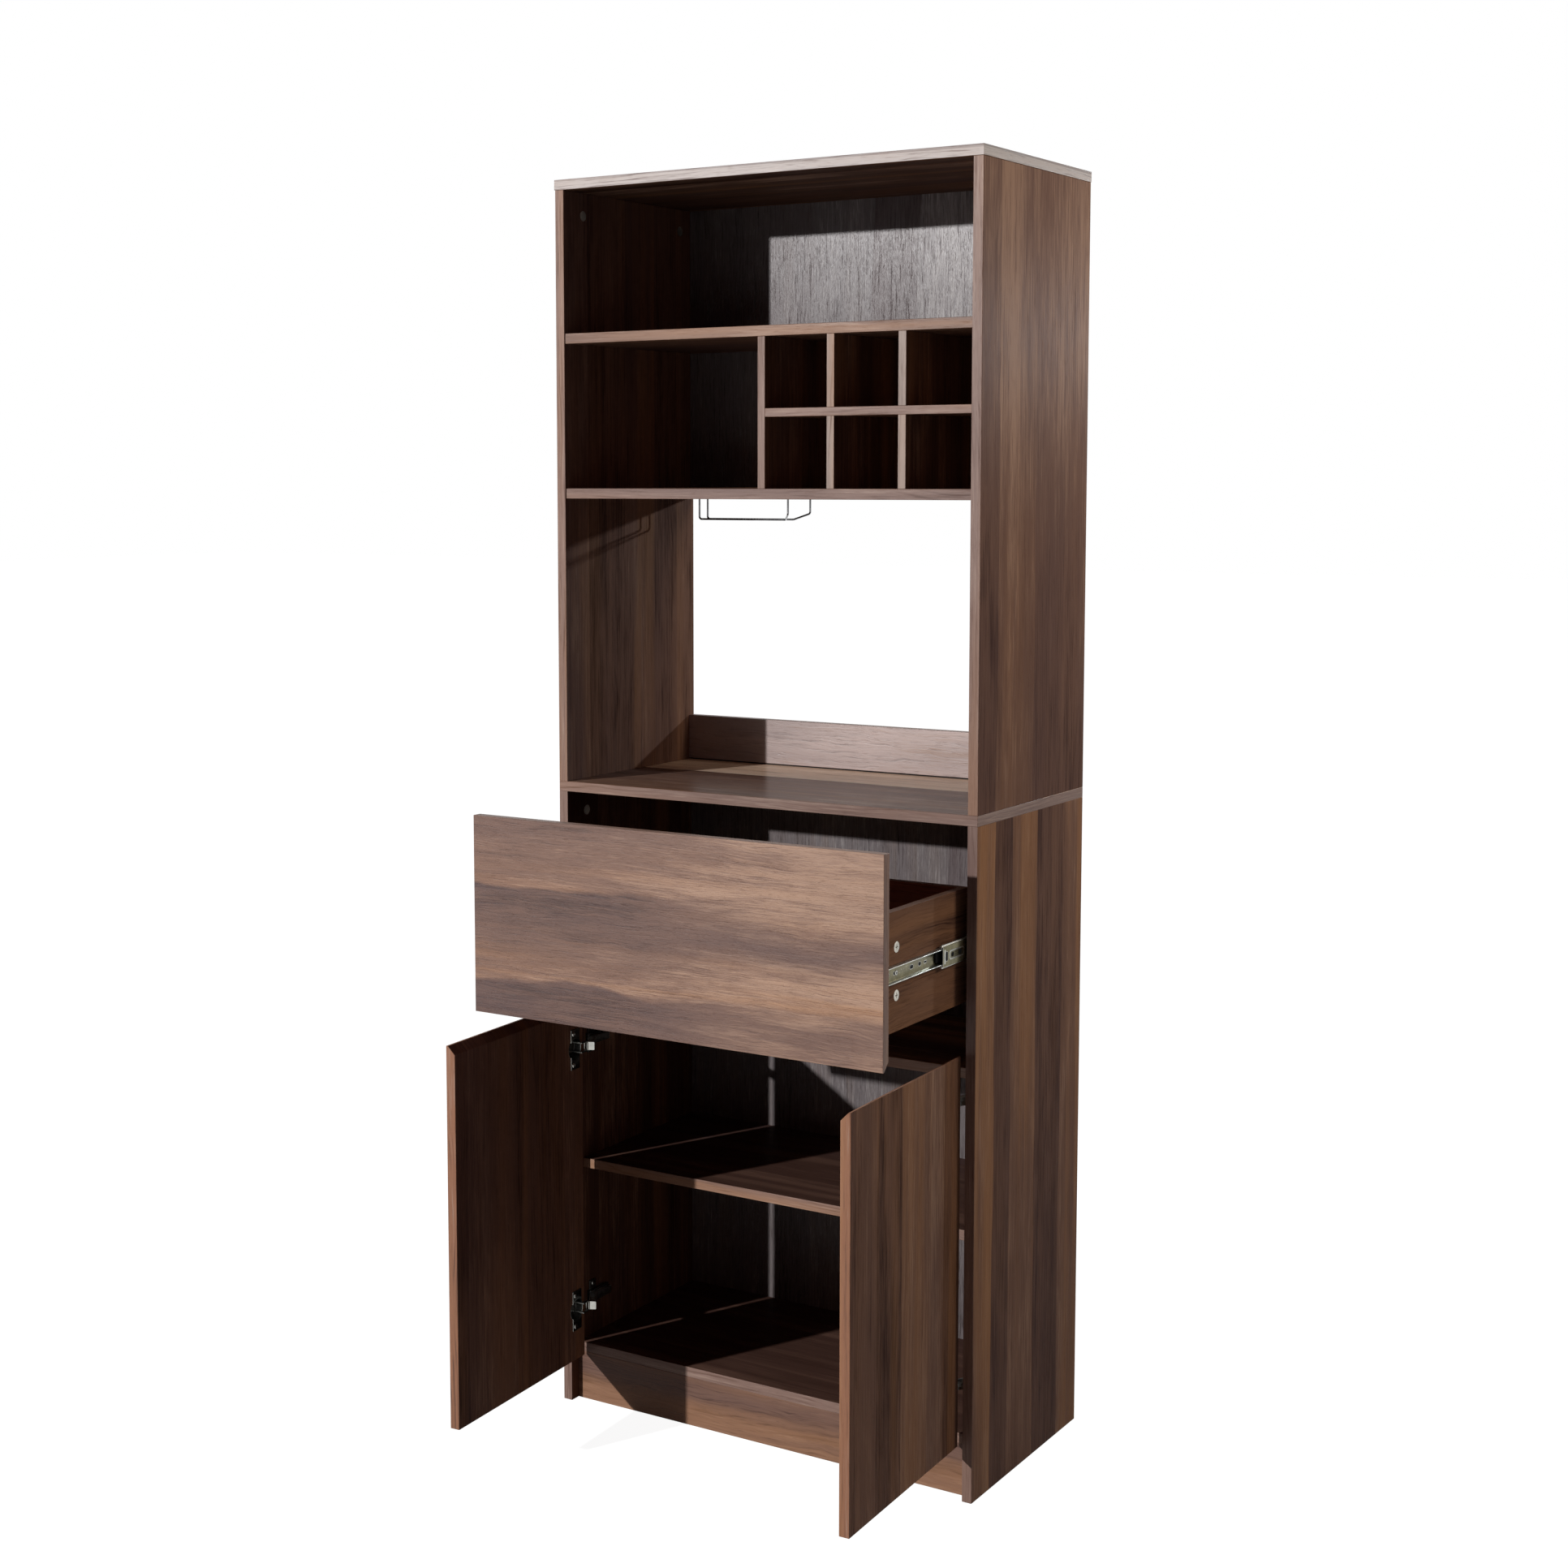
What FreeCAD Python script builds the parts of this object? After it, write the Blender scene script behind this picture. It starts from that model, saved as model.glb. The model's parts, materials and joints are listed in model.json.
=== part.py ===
import FreeCAD, Part
import math
import os
import re
import Sketcher
from FreeCAD import Placement, Rotation, Vector

# Tall wine cabinet: an open hutch with six bottle cells and a stemware rack stands on a
# worktop over a low cabinet with one wide drawer and two inset doors.
# The origin is on the floor, at the middle of the kick plate's foot. X points to the right,
# Y to the back and Z up. The drawer and both doors stand open, which is the pose that the
# joints take as zero. Below, Y is measured from the front edges of the side panels until
# keep() sets a finished piece in the cabinet.

# Driving sizes in millimetres or degrees: name, value, meaning
SIZES = [
    ("width", 700, "outer width over the side panels"),
    ("depth", 352, "side panels, front edge to back edge"),
    ("board", 15, "thickness of the main panels"),
    ("thin_board", 12, "thickness of the bottle rack dividers"),
    ("back_board", 9, "thickness of the two back panels"),
    ("base_side_height", 952, "height of the lower side panels"),
    ("hutch_side_height", 880, "height of the upper side panels"),
    ("top_overhang", 1, "top panel past the sides and the front"),
    ("open_bay_height", 426, "worktop to the underside of the rack shelf"),
    ("bottle_bay_height", 214, "rack shelf to the underside of the upper shelf"),
    ("shelf_recess", 2, "hutch shelves behind the side edges"),
    ("divider_recess", 3, "bottle rack dividers behind the side edges"),
    ("cell_width", 100, "clear width of one bottle cell"),
    ("splash_height", 70, "height of the rail behind the worktop"),
    ("splash_gap", 2, "gap under that rail"),
    ("kick_height", 75, "height of the kick plate"),
    ("kick_recess", 18, "kick plate and bottom panel behind the side edges"),
    ("lower_bay_height", 272, "bottom panel to the underside of the middle shelf"),
    ("middle_recess", 33, "middle shelf behind the side edges"),
    ("middle_play", 1, "middle shelf to each side panel"),
    ("peg_diameter", 5, "shelf peg"),
    ("peg_depth", 8, "shelf peg, length in the side panel"),
    ("peg_length", 16, "shelf peg, whole length"),
    ("peg_margin", 40, "shelf pegs from the front and back edges of the shelf"),
    ("divider_drop", 34, "drawer divider below the top of the doors"),
    ("divider_front", 68, "drawer divider behind the side edges"),
    ("door_width", 331, "one door"),
    ("door_bottom", 77, "lower edge of the doors above the floor"),
    ("door_top_gap", 28, "top of the doors to the drawer front"),
    ("door_gap", 3, "closed door to the side panel"),
    ("left_open_angle", 87, "opening of the left door as shown, in degrees"),
    ("right_open_angle", 92, "opening of the right door as shown, in degrees"),
    ("pivot_inset", 3.5, "door pivot from the hinge edge, along the door"),
    ("pivot_forward", 1.5, "door pivot in front of the closed door"),
    ("grip_bevel", 12, "finger grip bevel on the doors and the drawer front"),
    ("hinge_top_drop", 70, "upper hinge below the top of the door"),
    ("hinge_bottom_rise", 78, "lower hinge above the bottom of the door"),
    ("cup_centre", 22, "hinge cup centre from the hinge edge of the door"),
    ("cup_bore", 35, "bore for the hinge cup"),
    ("cup_play", 0.1, "hinge cup in its bore, all round"),
    ("cup_depth", 12.5, "hinge cup in the door"),
    ("cup_wall", 1, "wall of the hinge cup"),
    ("cup_floor", 0.5, "floor of the hinge cup"),
    ("flange_start", 10, "cup flange from the hinge edge of the door"),
    ("flange_width", 24, "cup flange across"),
    ("flange_length", 62, "cup flange, upright"),
    ("flange_metal", 1.3, "cup flange, thickness"),
    ("flange_screw_inset", 28, "cup screws from the hinge edge of the door"),
    ("flange_screw_span", 48, "cup screws, upright spacing"),
    ("link_start", -2.6, "end of the hinge links from the hinge edge of the door"),
    ("link_foot", 8.5, "foot of the hinge links from the hinge edge of the door"),
    ("link_width", 4, "hinge links in their own plane"),
    ("link_reach", 21.5, "outer edge of the hinge links from the face of the door"),
    ("link_metal", 2, "thickness of one hinge link"),
    ("arm_play", 0.3, "hinge arm to each link"),
    ("arm_height", 12, "hinge arm, upright"),
    ("arm_tip_front", 4.7, "tip of the hinge arm behind the side edge"),
    ("arm_tip_inner", 24.5, "tip of the hinge arm from the side panel, near side"),
    ("arm_tip_outer", 30, "tip of the hinge arm from the side panel, far side"),
    ("arm_tip_back", 20, "back of the narrow tip behind the side edge"),
    ("arm_neck", 17, "neck of the hinge arm from the side panel"),
    ("arm_neck_back", 24, "neck of the hinge arm behind the side edge"),
    ("arm_root_front", 40, "root of the hinge arm behind the side edge"),
    ("arm_shoulder", 50, "start of the slope to the tip behind the side edge"),
    ("arm_root_back", 86, "back of the hinge arm behind the side edge"),
    ("arm_root_outer", 15, "root of the hinge arm from the side panel, far side"),
    ("rail_front", 42, "mounting rail behind the side edge"),
    ("rail_length", 48, "mounting rail, front to back"),
    ("rail_height", 16, "mounting rail, upright"),
    ("rail_rise", 7, "mounting rail from the side panel"),
    ("wing_front", 46, "wing of the mounting plate behind the side edge"),
    ("wing_depth", 16, "wing of the mounting plate, front to back"),
    ("wing_height", 44, "wing of the mounting plate, upright"),
    ("wing_metal", 2.5, "wing of the mounting plate, thickness"),
    ("wing_screw_span", 32, "mounting screws, upright spacing"),
    ("front_top_gap", 7, "top of the drawer front to the worktop"),
    ("front_height", 285, "drawer front"),
    ("front_gap", 3, "drawer front to each side panel"),
    ("drawer_out", 233, "drawer opening as shown"),
    ("drawer_length", 250, "drawer box behind its front"),
    ("drawer_rise", 43, "drawer box above the lower edge of its front"),
    ("drawer_height", 160, "drawer box sides"),
    ("drawer_board", 12, "thickness of the drawer box sides and back"),
    ("drawer_floor", 5, "thickness of the drawer bottom"),
    ("floor_rise", 10, "drawer bottom above the lower edge of the box"),
    ("groove_depth", 6, "groove for the drawer bottom"),
    ("groove_play", 0.1, "drawer bottom in its grooves"),
    ("slide_space", 13, "side panel to drawer box"),
    ("slide_rise", 79, "slide centre above the lower edge of the box"),
    ("slide_length", 250, "each slide member"),
    ("slide_metal", 1.2, "sheet metal of the slides"),
    ("outer_height", 35, "cabinet member, upright"),
    ("outer_reach", 9.5, "cabinet member from the side panel"),
    ("middle_height", 28, "middle member, upright"),
    ("middle_start", 2.9, "middle member from the side panel, near side"),
    ("middle_reach", 10.8, "middle member from the side panel, far side"),
    ("inner_height", 22, "drawer member, upright"),
    ("inner_start", 4.5, "drawer member from the side panel, near side"),
    ("race_start", 5, "ball strip from the side panel"),
    ("race_width", 4, "ball strip across"),
    ("race_play", 0.4, "ball strip to the next member"),
    ("middle_out", 79, "middle member in front of the cabinet member as shown"),
    ("slide_screw_margin", 35, "slide screws from the ends of a member"),
    ("cam_diameter", 15, "cam lock"),
    ("cam_depth", 12.5, "cam lock in its panel"),
    ("cam_play", 0.1, "cam lock in its bore, all round"),
    ("cam_setback", 34, "cam centre from the joint that it closes"),
    ("cam_front", 50, "front cams behind the side edges"),
    ("cam_back", 38, "rear cams in front of the back edges"),
    ("drawer_cam_setback", 40, "drawer cams behind the drawer front"),
    ("drawer_cam_span", 64, "drawer cams, upright spacing"),
    ("drawer_cam_depth", 9.5, "drawer cam in the box side"),
    ("bolt_diameter", 6, "cam bolt"),
    ("bolt_grip", 10, "cam bolt in the panel that it holds"),
    ("screw_head", 7, "screw head"),
    ("screw_head_height", 1.4, "screw head"),
    ("screw_shank", 3.5, "screw shank"),
    ("screw_length", 11, "screw under its head"),
    ("screw_play", 0.1, "screw shank in its hole, all round"),
    ("wire", 3, "stemware rack wire"),
    ("wire_play", 0.1, "rack wire in its hole, all round"),
    ("wire_seat", 8, "rack wire in the rack shelf"),
    ("wire_bend", 4, "bend radius of the rack wire"),
    ("rack_left", 77, "closed end of the rack from the outer face of the cabinet"),
    ("rack_length", 158, "straight part of the rack"),
    ("rack_setback", 57, "middle of the rack to the hutch back"),
    ("rack_spacing", 24, "rack wires, centre to centre"),
    ("rack_mouth", 68, "rack wires at the flared end, centre to centre"),
    ("rack_drop", 34.5, "rack wire centre below the rack shelf"),
    ("flare_run", 17, "flared end along the cabinet"),
    ("flare_rise", 9, "flared end, rise"),
]

FUNCTIONS = ("cos", "sin")
LEFT, RIGHT = 1, -1
SIDE_NAMES = {LEFT: "left", RIGHT: "right"}

doc = FreeCAD.newDocument("wine_cabinet")
sheet = doc.addObject("Spreadsheet::Sheet", "sizes")
nodes = []


def fill_sheet():
    for row, (name, amount, meaning) in enumerate(SIZES, start=1):
        sheet.set(f"A{row}", name)
        sheet.set(f"B{row}", str(amount))
        sheet.set(f"C{row}", meaning)
        sheet.setAlias(f"B{row}", name)
    doc.recompute()


def linked(text):
    """Turns the plain names in a formula into references to the sheet."""
    names = re.compile(r"[a-z][a-z_]*")
    return names.sub(lambda m: m.group(0) if m.group(0) in FUNCTIONS else "sizes." + m.group(0), str(text))


def number(text):
    """Value of a formula, for first guesses and for shapes made outside a sketch."""
    return float(sheet.evalExpression(linked(text)))


def bind(item, prop, text):
    item.setExpression(prop, linked(text))


def place(item, at):
    for axis, text in zip("xyz", at):
        bind(item, ".Placement.Base." + axis, text)


def keep(item, label, at=("0", "0", "0")):
    """Names a finished sub-part and sets it in the cabinet. It is then checked and written."""
    item.Label = label
    x, y, z = at
    place(item, (x, f"{y} - kick_recess - board / 2", z))
    nodes.append(item)
    return item


# Sketches and features of a body

def new_sketch(body, role, offset="0", hand=LEFT):
    """Empty sketch on an origin plane. Its X axis is turned round for the right hand."""
    sketch = body.newObject("Sketcher::SketchObject", body.Name + "_sketch")
    plane = next(f for f in body.Origin.OriginFeatures if f.Role == role)
    sketch.AttachmentSupport = [(plane, "")]
    sketch.MapMode = "FlatFace"
    if hand == RIGHT:
        sketch.AttachmentOffset = Placement(Vector(), Rotation(Vector(0, 1, 0), 180))
    bind(sketch, ".AttachmentOffset.Base.z", offset)
    return sketch


def hold_point(sketch, geometry, point, corner):
    """Ties one point of a sketch to its origin by two distances."""
    for kind, text in zip(("DistanceX", "DistanceY"), corner):
        index = sketch.addConstraint(Sketcher.Constraint(kind, -1, 1, geometry, point, number(text)))
        bind(sketch, f"Constraints[{index}]", text)


def outline(sketch, corners):
    """Closed outline through the corners, each given as two formulas."""
    spots = [Vector(number(x), number(y), 0) for x, y in corners]
    count = len(spots)
    for i in range(count):
        sketch.addGeometry(Part.LineSegment(spots[i], spots[(i + 1) % count]))
    for i in range(count):
        sketch.addConstraint(Sketcher.Constraint("Coincident", i, 2, (i + 1) % count, 1))
    for i, corner in enumerate(corners):
        hold_point(sketch, i, 1, corner)


def rectangle(low_x, low_y, high_x, high_y):
    return [(low_x, low_y), (high_x, low_y), (high_x, high_y), (low_x, high_y)]


def pad(body, sketch, length, turned=False, middle=False):
    feature = body.newObject("PartDesign::Pad", body.Name + "_pad")
    feature.Profile = sketch
    feature.Reversed = turned
    feature.Midplane = middle
    bind(feature, "Length", length)
    return feature


def pocket(body, sketch, length, turned=False):
    """Cuts a sketch into the body and makes sure that material went."""
    doc.recompute()
    before = body.Shape.Volume
    feature = body.newObject("PartDesign::Pocket", body.Name + "_pocket")
    feature.Profile = sketch
    feature.Reversed = turned
    bind(feature, "Length", length)
    doc.recompute()
    if body.Shape.Volume >= before:
        raise RuntimeError(f"{body.Label}: a pocket cuts nothing")
    return feature


def bores(body, role, offset, centres, diameter, depth, turned=False, hand=LEFT):
    """Round holes of one size, cut from a plane of the body."""
    sketch = new_sketch(body, role, offset, hand)
    radius = number(diameter) / 2
    for i, (x, y) in enumerate(centres):
        sketch.addGeometry(Part.Circle(Vector(number(x), number(y), 0), Vector(0, 0, 1), radius))
        hold_point(sketch, i, 3, (x, y))
        index = sketch.addConstraint(Sketcher.Constraint("Diameter", i, 2 * radius))
        bind(sketch, f"Constraints[{index}]", diameter)
    return pocket(body, sketch, depth, turned)


def groove(body, role, offset, corners, depth, turned=False, hand=LEFT):
    sketch = new_sketch(body, role, offset, hand)
    outline(sketch, corners)
    return pocket(body, sketch, depth, turned)


def bevel(body, base, at_top):
    """Finger grip bevel along the top or the bottom edge of a panel's back face."""
    doc.recompute()
    box = base.Shape.BoundBox
    place_of_edge = Vector(box.Center.x, box.YMax, box.ZMax if at_top else box.ZMin)
    for index, edge in enumerate(base.Shape.Edges, start=1):
        if edge.CenterOfMass.isEqual(place_of_edge, Part.Precision.confusion()):
            feature = body.newObject("PartDesign::Chamfer", body.Name + "_bevel")
            feature.Base = (base, [f"Edge{index}"])
            bind(feature, "Size", "grip_bevel")
            return feature
    raise RuntimeError(f"{body.Label}: no edge to bevel")


def board(label, size, at):
    """Plain panel: a rectangle padded upwards, with its low corner at a point."""
    body = doc.addObject("PartDesign::Body", label)
    sketch = new_sketch(body, "XY_Plane")
    outline(sketch, rectangle("0", "0", size[0], size[1]))
    pad(body, sketch, size[2])
    return keep(body, label, at)


# Simple solids for hardware

def block(name, size, at):
    item = doc.addObject("Part::Box", name)
    for prop, text in zip(("Length", "Width", "Height"), size):
        bind(item, prop, text)
    place(item, at)
    return item


AXIS_TURNS = {
    "+X": Rotation(Vector(0, 1, 0), 90),
    "-X": Rotation(Vector(0, 1, 0), -90),
    "+Y": Rotation(Vector(1, 0, 0), -90),
    "-Y": Rotation(Vector(1, 0, 0), 90),
    "+Z": Rotation(),
}


def rod(name, diameter, length, at, axis):
    item = doc.addObject("Part::Cylinder", name)
    item.Placement = Placement(Vector(), AXIS_TURNS[axis])
    bind(item, "Radius", f"({diameter}) / 2")
    bind(item, "Height", length)
    place(item, at)
    return item


def joined(name, items):
    item = doc.addObject("Part::MultiFuse", name)
    item.Shapes = items
    return item


def cut(name, base, tools):
    item = doc.addObject("Part::Cut", name)
    item.Base = base
    item.Tool = tools[0] if len(tools) == 1 else joined(name + "_tools", tools)
    return item


def group(name, items):
    """Like pieces that share one node, each its own solid."""
    item = doc.addObject("Part::Compound", name)
    item.Links = items
    return item


def along(hand, start, length):
    """Low end of a stretch measured from a side: to the right for the left hand."""
    return f"({start})" if hand == LEFT else f"-({start}) - ({length})"


def spot(hand, distance):
    return f"({distance})" if hand == LEFT else f"-({distance})"


def inward(hand):
    return "+X" if hand == LEFT else "-X"


def outward(hand):
    return inward(-hand)


# Heights and places that several pieces share

WORKTOP_TOP = "base_side_height + board"
RACK_SHELF = f"{WORKTOP_TOP} + open_bay_height"
UPPER_SHELF = f"{RACK_SHELF} + board + bottle_bay_height"
HUTCH_TOP = f"{WORKTOP_TOP} + hutch_side_height"
INNER_WIDTH = "width - 2 * board"
INNER_LEFT = "board - width / 2"
BACK_FACE = "depth - back_board"
MIDDLE_SHELF = "kick_height + board + lower_bay_height"
FRONT_BOTTOM = "base_side_height - front_top_gap - front_height"
DOOR_TOP = f"{FRONT_BOTTOM} - door_top_gap"
DRAWER_DIVIDER = f"{DOOR_TOP} - divider_drop - board"
BOX_BOTTOM = f"{FRONT_BOTTOM} + drawer_rise"
RACK_MIDDLE = f"{BACK_FACE} - rack_setback"
DOOR_CORNER = "width / 2 - board - door_gap"
SLIDE_HEIGHT = f"{BOX_BOTTOM} + slide_rise"
DRAWER_FRONT_BACK = "board - drawer_out"
BOX_HALF = "width / 2 - board - slide_space"
HINGE_HEIGHTS = {
    "lower": "door_bottom + hinge_bottom_rise",
    "upper": f"{DOOR_TOP} - hinge_top_drop",
}
CAM_BORE = "cam_diameter + 2 * cam_play"
BOLT_BORE = "bolt_diameter + 2 * cam_play"
SCREW_BORE = "screw_shank + 2 * screw_play"
CAM_LINES = ("cam_front", "depth - cam_back")


# Carcass

def side_panel(label, hand, height, base, cam_height):
    """Side panel with the two cam bores near its upper end and their bolt bores."""
    body = board(label, ("board", "depth", height),
                 (along(hand, "-width / 2", "board"), "0", base))
    inner = "board" if hand == LEFT else "0"
    bores(body, "YZ_Plane", inner, [(line, cam_height) for line in CAM_LINES],
          CAM_BORE, "cam_depth", turned=hand == RIGHT)
    middle = "board / 2"
    bores(body, "XY_Plane", height, [(middle, line) for line in CAM_LINES],
          BOLT_BORE, "cam_setback - cam_diameter / 2")
    return body


def upper_side(hand):
    return side_panel(f"upper_side_{SIDE_NAMES[hand]}", hand, "hutch_side_height", WORKTOP_TOP,
                      "hutch_side_height - cam_setback")


def peg_places():
    front = "middle_recess + peg_margin"
    back = f"{BACK_FACE} - peg_margin"
    height = f"{MIDDLE_SHELF} - peg_diameter / 2"
    return [(front, height), (back, height)]


def slide_screw_places(start):
    """Two places along a slide member that starts at a given Y."""
    return [f"{start} + slide_screw_margin", f"{start} + slide_length - slide_screw_margin"]


def wing_screw_places():
    """Mounting plate screws as Y and Z, two for each hinge."""
    places = []
    for height in HINGE_HEIGHTS.values():
        for sign in ("-", "+"):
            places.append(("wing_front + wing_depth / 2", f"{height} {sign} wing_screw_span / 2"))
    return places


def lower_side(hand):
    body = side_panel(f"lower_side_{SIDE_NAMES[hand]}", hand, "base_side_height", "0",
                      "base_side_height - cam_setback")
    inner = "board" if hand == LEFT else "0"
    turned = hand == RIGHT
    bores(body, "YZ_Plane", inner, peg_places(), "peg_diameter + 2 * screw_play", "peg_depth", turned)
    screws = wing_screw_places() + [(y, SLIDE_HEIGHT) for y in slide_screw_places("board")]
    bores(body, "YZ_Plane", inner, screws, SCREW_BORE, "screw_length", turned)
    return body


def capping_panel(label, extra, at):
    """Full-width panel on top of two side panels, with bores for their bolts."""
    body = board(label, (f"width + 2 * {extra}", f"depth + {extra}", "board"), at)
    centres = []
    for x in (f"{extra} + board / 2", f"width + {extra} - board / 2"):
        centres += [(x, f"{line} + {extra}") for line in CAM_LINES]
    bores(body, "XY_Plane", "0", centres, BOLT_BORE, "bolt_grip", turned=True)
    return body


def hutch():
    upper_side(LEFT)
    upper_side(RIGHT)
    capping_panel("top_panel", "top_overhang",
                  ("-width / 2 - top_overhang", "-top_overhang", HUTCH_TOP))
    shelf_size = (INNER_WIDTH, f"{BACK_FACE} - shelf_recess", "board")
    board("upper_shelf", shelf_size, (INNER_LEFT, "shelf_recess", UPPER_SHELF))
    rack_shelf = board("rack_shelf", shelf_size, (INNER_LEFT, "shelf_recess", RACK_SHELF))
    holes = [(f"{x} + width / 2 - board", f"{y} - shelf_recess") for x, y in rack_leg_places()]
    bores(rack_shelf, "XY_Plane", "0", holes, "wire + 2 * wire_play", "wire_seat", turned=True)
    board("hutch_back", (INNER_WIDTH, "back_board", "hutch_side_height - open_bay_height"),
          (INNER_LEFT, BACK_FACE, RACK_SHELF))
    board("backsplash", (INNER_WIDTH, "board", "splash_height"),
          (INNER_LEFT, "depth - board", f"{WORKTOP_TOP} + splash_gap"))


def bottle_rack():
    """Tall divider, one shelf across the cells and four short dividers."""
    depth = f"{BACK_FACE} - divider_recess"
    cells_left = "width / 2 - board - 3 * cell_width - 2 * thin_board"
    floor = f"{RACK_SHELF} + board"
    cell_height = "(bottle_bay_height - thin_board) / 2"
    board("bay_divider", ("thin_board", depth, "bottle_bay_height"),
          (f"{cells_left} - thin_board", "divider_recess", floor))
    board("cell_shelf", ("3 * cell_width + 2 * thin_board", depth, "thin_board"),
          (cells_left, "divider_recess", f"{floor} + {cell_height}"))
    row_floors = {"lower": floor, "upper": f"{floor} + {cell_height} + thin_board"}
    for row, row_floor in row_floors.items():
        for i, column in enumerate(("left", "right")):
            x = f"{cells_left} + cell_width + {i} * (cell_width + thin_board)"
            board(f"cell_divider_{row}_{column}", ("thin_board", depth, cell_height),
                  (x, "divider_recess", row_floor))


def base_cabinet():
    lower_side(LEFT)
    lower_side(RIGHT)
    capping_panel("worktop", "0", ("-width / 2", "0", "base_side_height"))
    inner_depth = f"{BACK_FACE} - kick_recess"
    board("bottom_panel", (INNER_WIDTH, inner_depth, "board"),
          (INNER_LEFT, "kick_recess", "kick_height"))
    board("kick_plate", (INNER_WIDTH, "board", "kick_height"), (INNER_LEFT, "kick_recess", "0"))
    board("middle_shelf", (f"{INNER_WIDTH} - 2 * middle_play", f"{BACK_FACE} - middle_recess", "board"),
          (f"{INNER_LEFT} + middle_play", "middle_recess", MIDDLE_SHELF))
    board("drawer_divider", (INNER_WIDTH, f"{BACK_FACE} - divider_front", "board"),
          (INNER_LEFT, "divider_front", DRAWER_DIVIDER))
    board("lower_back", (INNER_WIDTH, "back_board", "base_side_height - kick_height"),
          (INNER_LEFT, BACK_FACE, "kick_height"))
    pegs = []
    for hand in (LEFT, RIGHT):
        for y, z in peg_places():
            start = spot(hand, f"{INNER_LEFT} - peg_depth")
            pegs.append(rod("peg", "peg_diameter", "peg_length", (start, y, z), inward(hand)))
    keep(group("shelf_pegs", pegs), "shelf_pegs")


def carcass_fittings():
    """Cam locks in the side panels and the bolts that they pull on."""
    cams = []
    bolts = []
    for hand in (LEFT, RIGHT):
        for joint in ("base_side_height", HUTCH_TOP):
            for line in CAM_LINES:
                start = spot(hand, f"{INNER_LEFT} - cam_depth")
                height = f"{joint} - cam_setback"
                cams.append(rod("cam", "cam_diameter", "cam_depth", (start, line, height), inward(hand)))
                middle = spot(hand, f"{INNER_LEFT} - board / 2")
                foot = f"{height} + cam_diameter / 2"
                length = "cam_setback - cam_diameter / 2 + bolt_grip"
                bolts.append(rod("bolt", "bolt_diameter", length, (middle, line, foot), "+Z"))
    keep(group("cam_locks", cams), "cam_locks")
    keep(group("cam_bolts", bolts), "cam_bolts")


# Stemware rack

def rack_leg_places():
    """Places of the four rack legs on the underside of the rack shelf, as X and Y."""
    left = "rack_left - width / 2"
    right = f"{left} + rack_length + flare_run"
    places = []
    for sign in ("-", "+"):
        places.append((left, f"{RACK_MIDDLE} {sign} rack_spacing / 2"))
        places.append((right, f"{RACK_MIDDLE} {sign} rack_mouth / 2"))
    return places


def bent_wire(points, radius, diameter):
    """Round wire through the points, with each corner bent to one radius."""
    edges = []
    start = points[0]
    for before, corner, after in zip(points, points[1:], points[2:]):
        inlet = (before - corner).normalize()
        outlet = (after - corner).normalize()
        half_turn = inlet.getAngle(outlet) / 2
        reach = radius / math.tan(half_turn)
        first = corner + inlet * reach
        last = corner + outlet * reach
        bisector = (inlet + outlet).normalize()
        middle = corner + bisector * (radius / math.sin(half_turn) - radius)
        edges.append(Part.makeLine(start, first))
        edges.append(Part.Arc(first, middle, last).toShape())
        start = last
    edges.append(Part.makeLine(start, points[-1]))
    direction = (points[1] - points[0]).normalize()
    profile = Part.Wire([Part.makeCircle(diameter / 2, points[0], direction)])
    return Part.Wire(edges).makePipeShell([profile], True, False)


def rack_wire(label, sign):
    """One wire of the rack: legs up into the shelf, a straight bar and a flared end."""
    left = number("rack_left - width / 2")
    bar_end = left + number("rack_length")
    flare_end = bar_end + number("flare_run")
    bar_y = number(f"{RACK_MIDDLE} {sign} rack_spacing / 2")
    mouth_y = number(f"{RACK_MIDDLE} {sign} rack_mouth / 2")
    bar_z = number(f"{RACK_SHELF} - rack_drop")
    flare_z = bar_z + number("flare_rise")
    seat_z = number(f"{RACK_SHELF} + wire_seat")
    points = [
        Vector(left, bar_y, seat_z),
        Vector(left, bar_y, bar_z),
        Vector(bar_end, bar_y, bar_z),
        Vector(flare_end, mouth_y, flare_z),
        Vector(flare_end, mouth_y, seat_z),
    ]
    item = doc.addObject("Part::Feature", label)
    item.Shape = bent_wire(points, number("wire_bend"), number("wire"))
    return keep(item, label)


# Drawer

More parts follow.
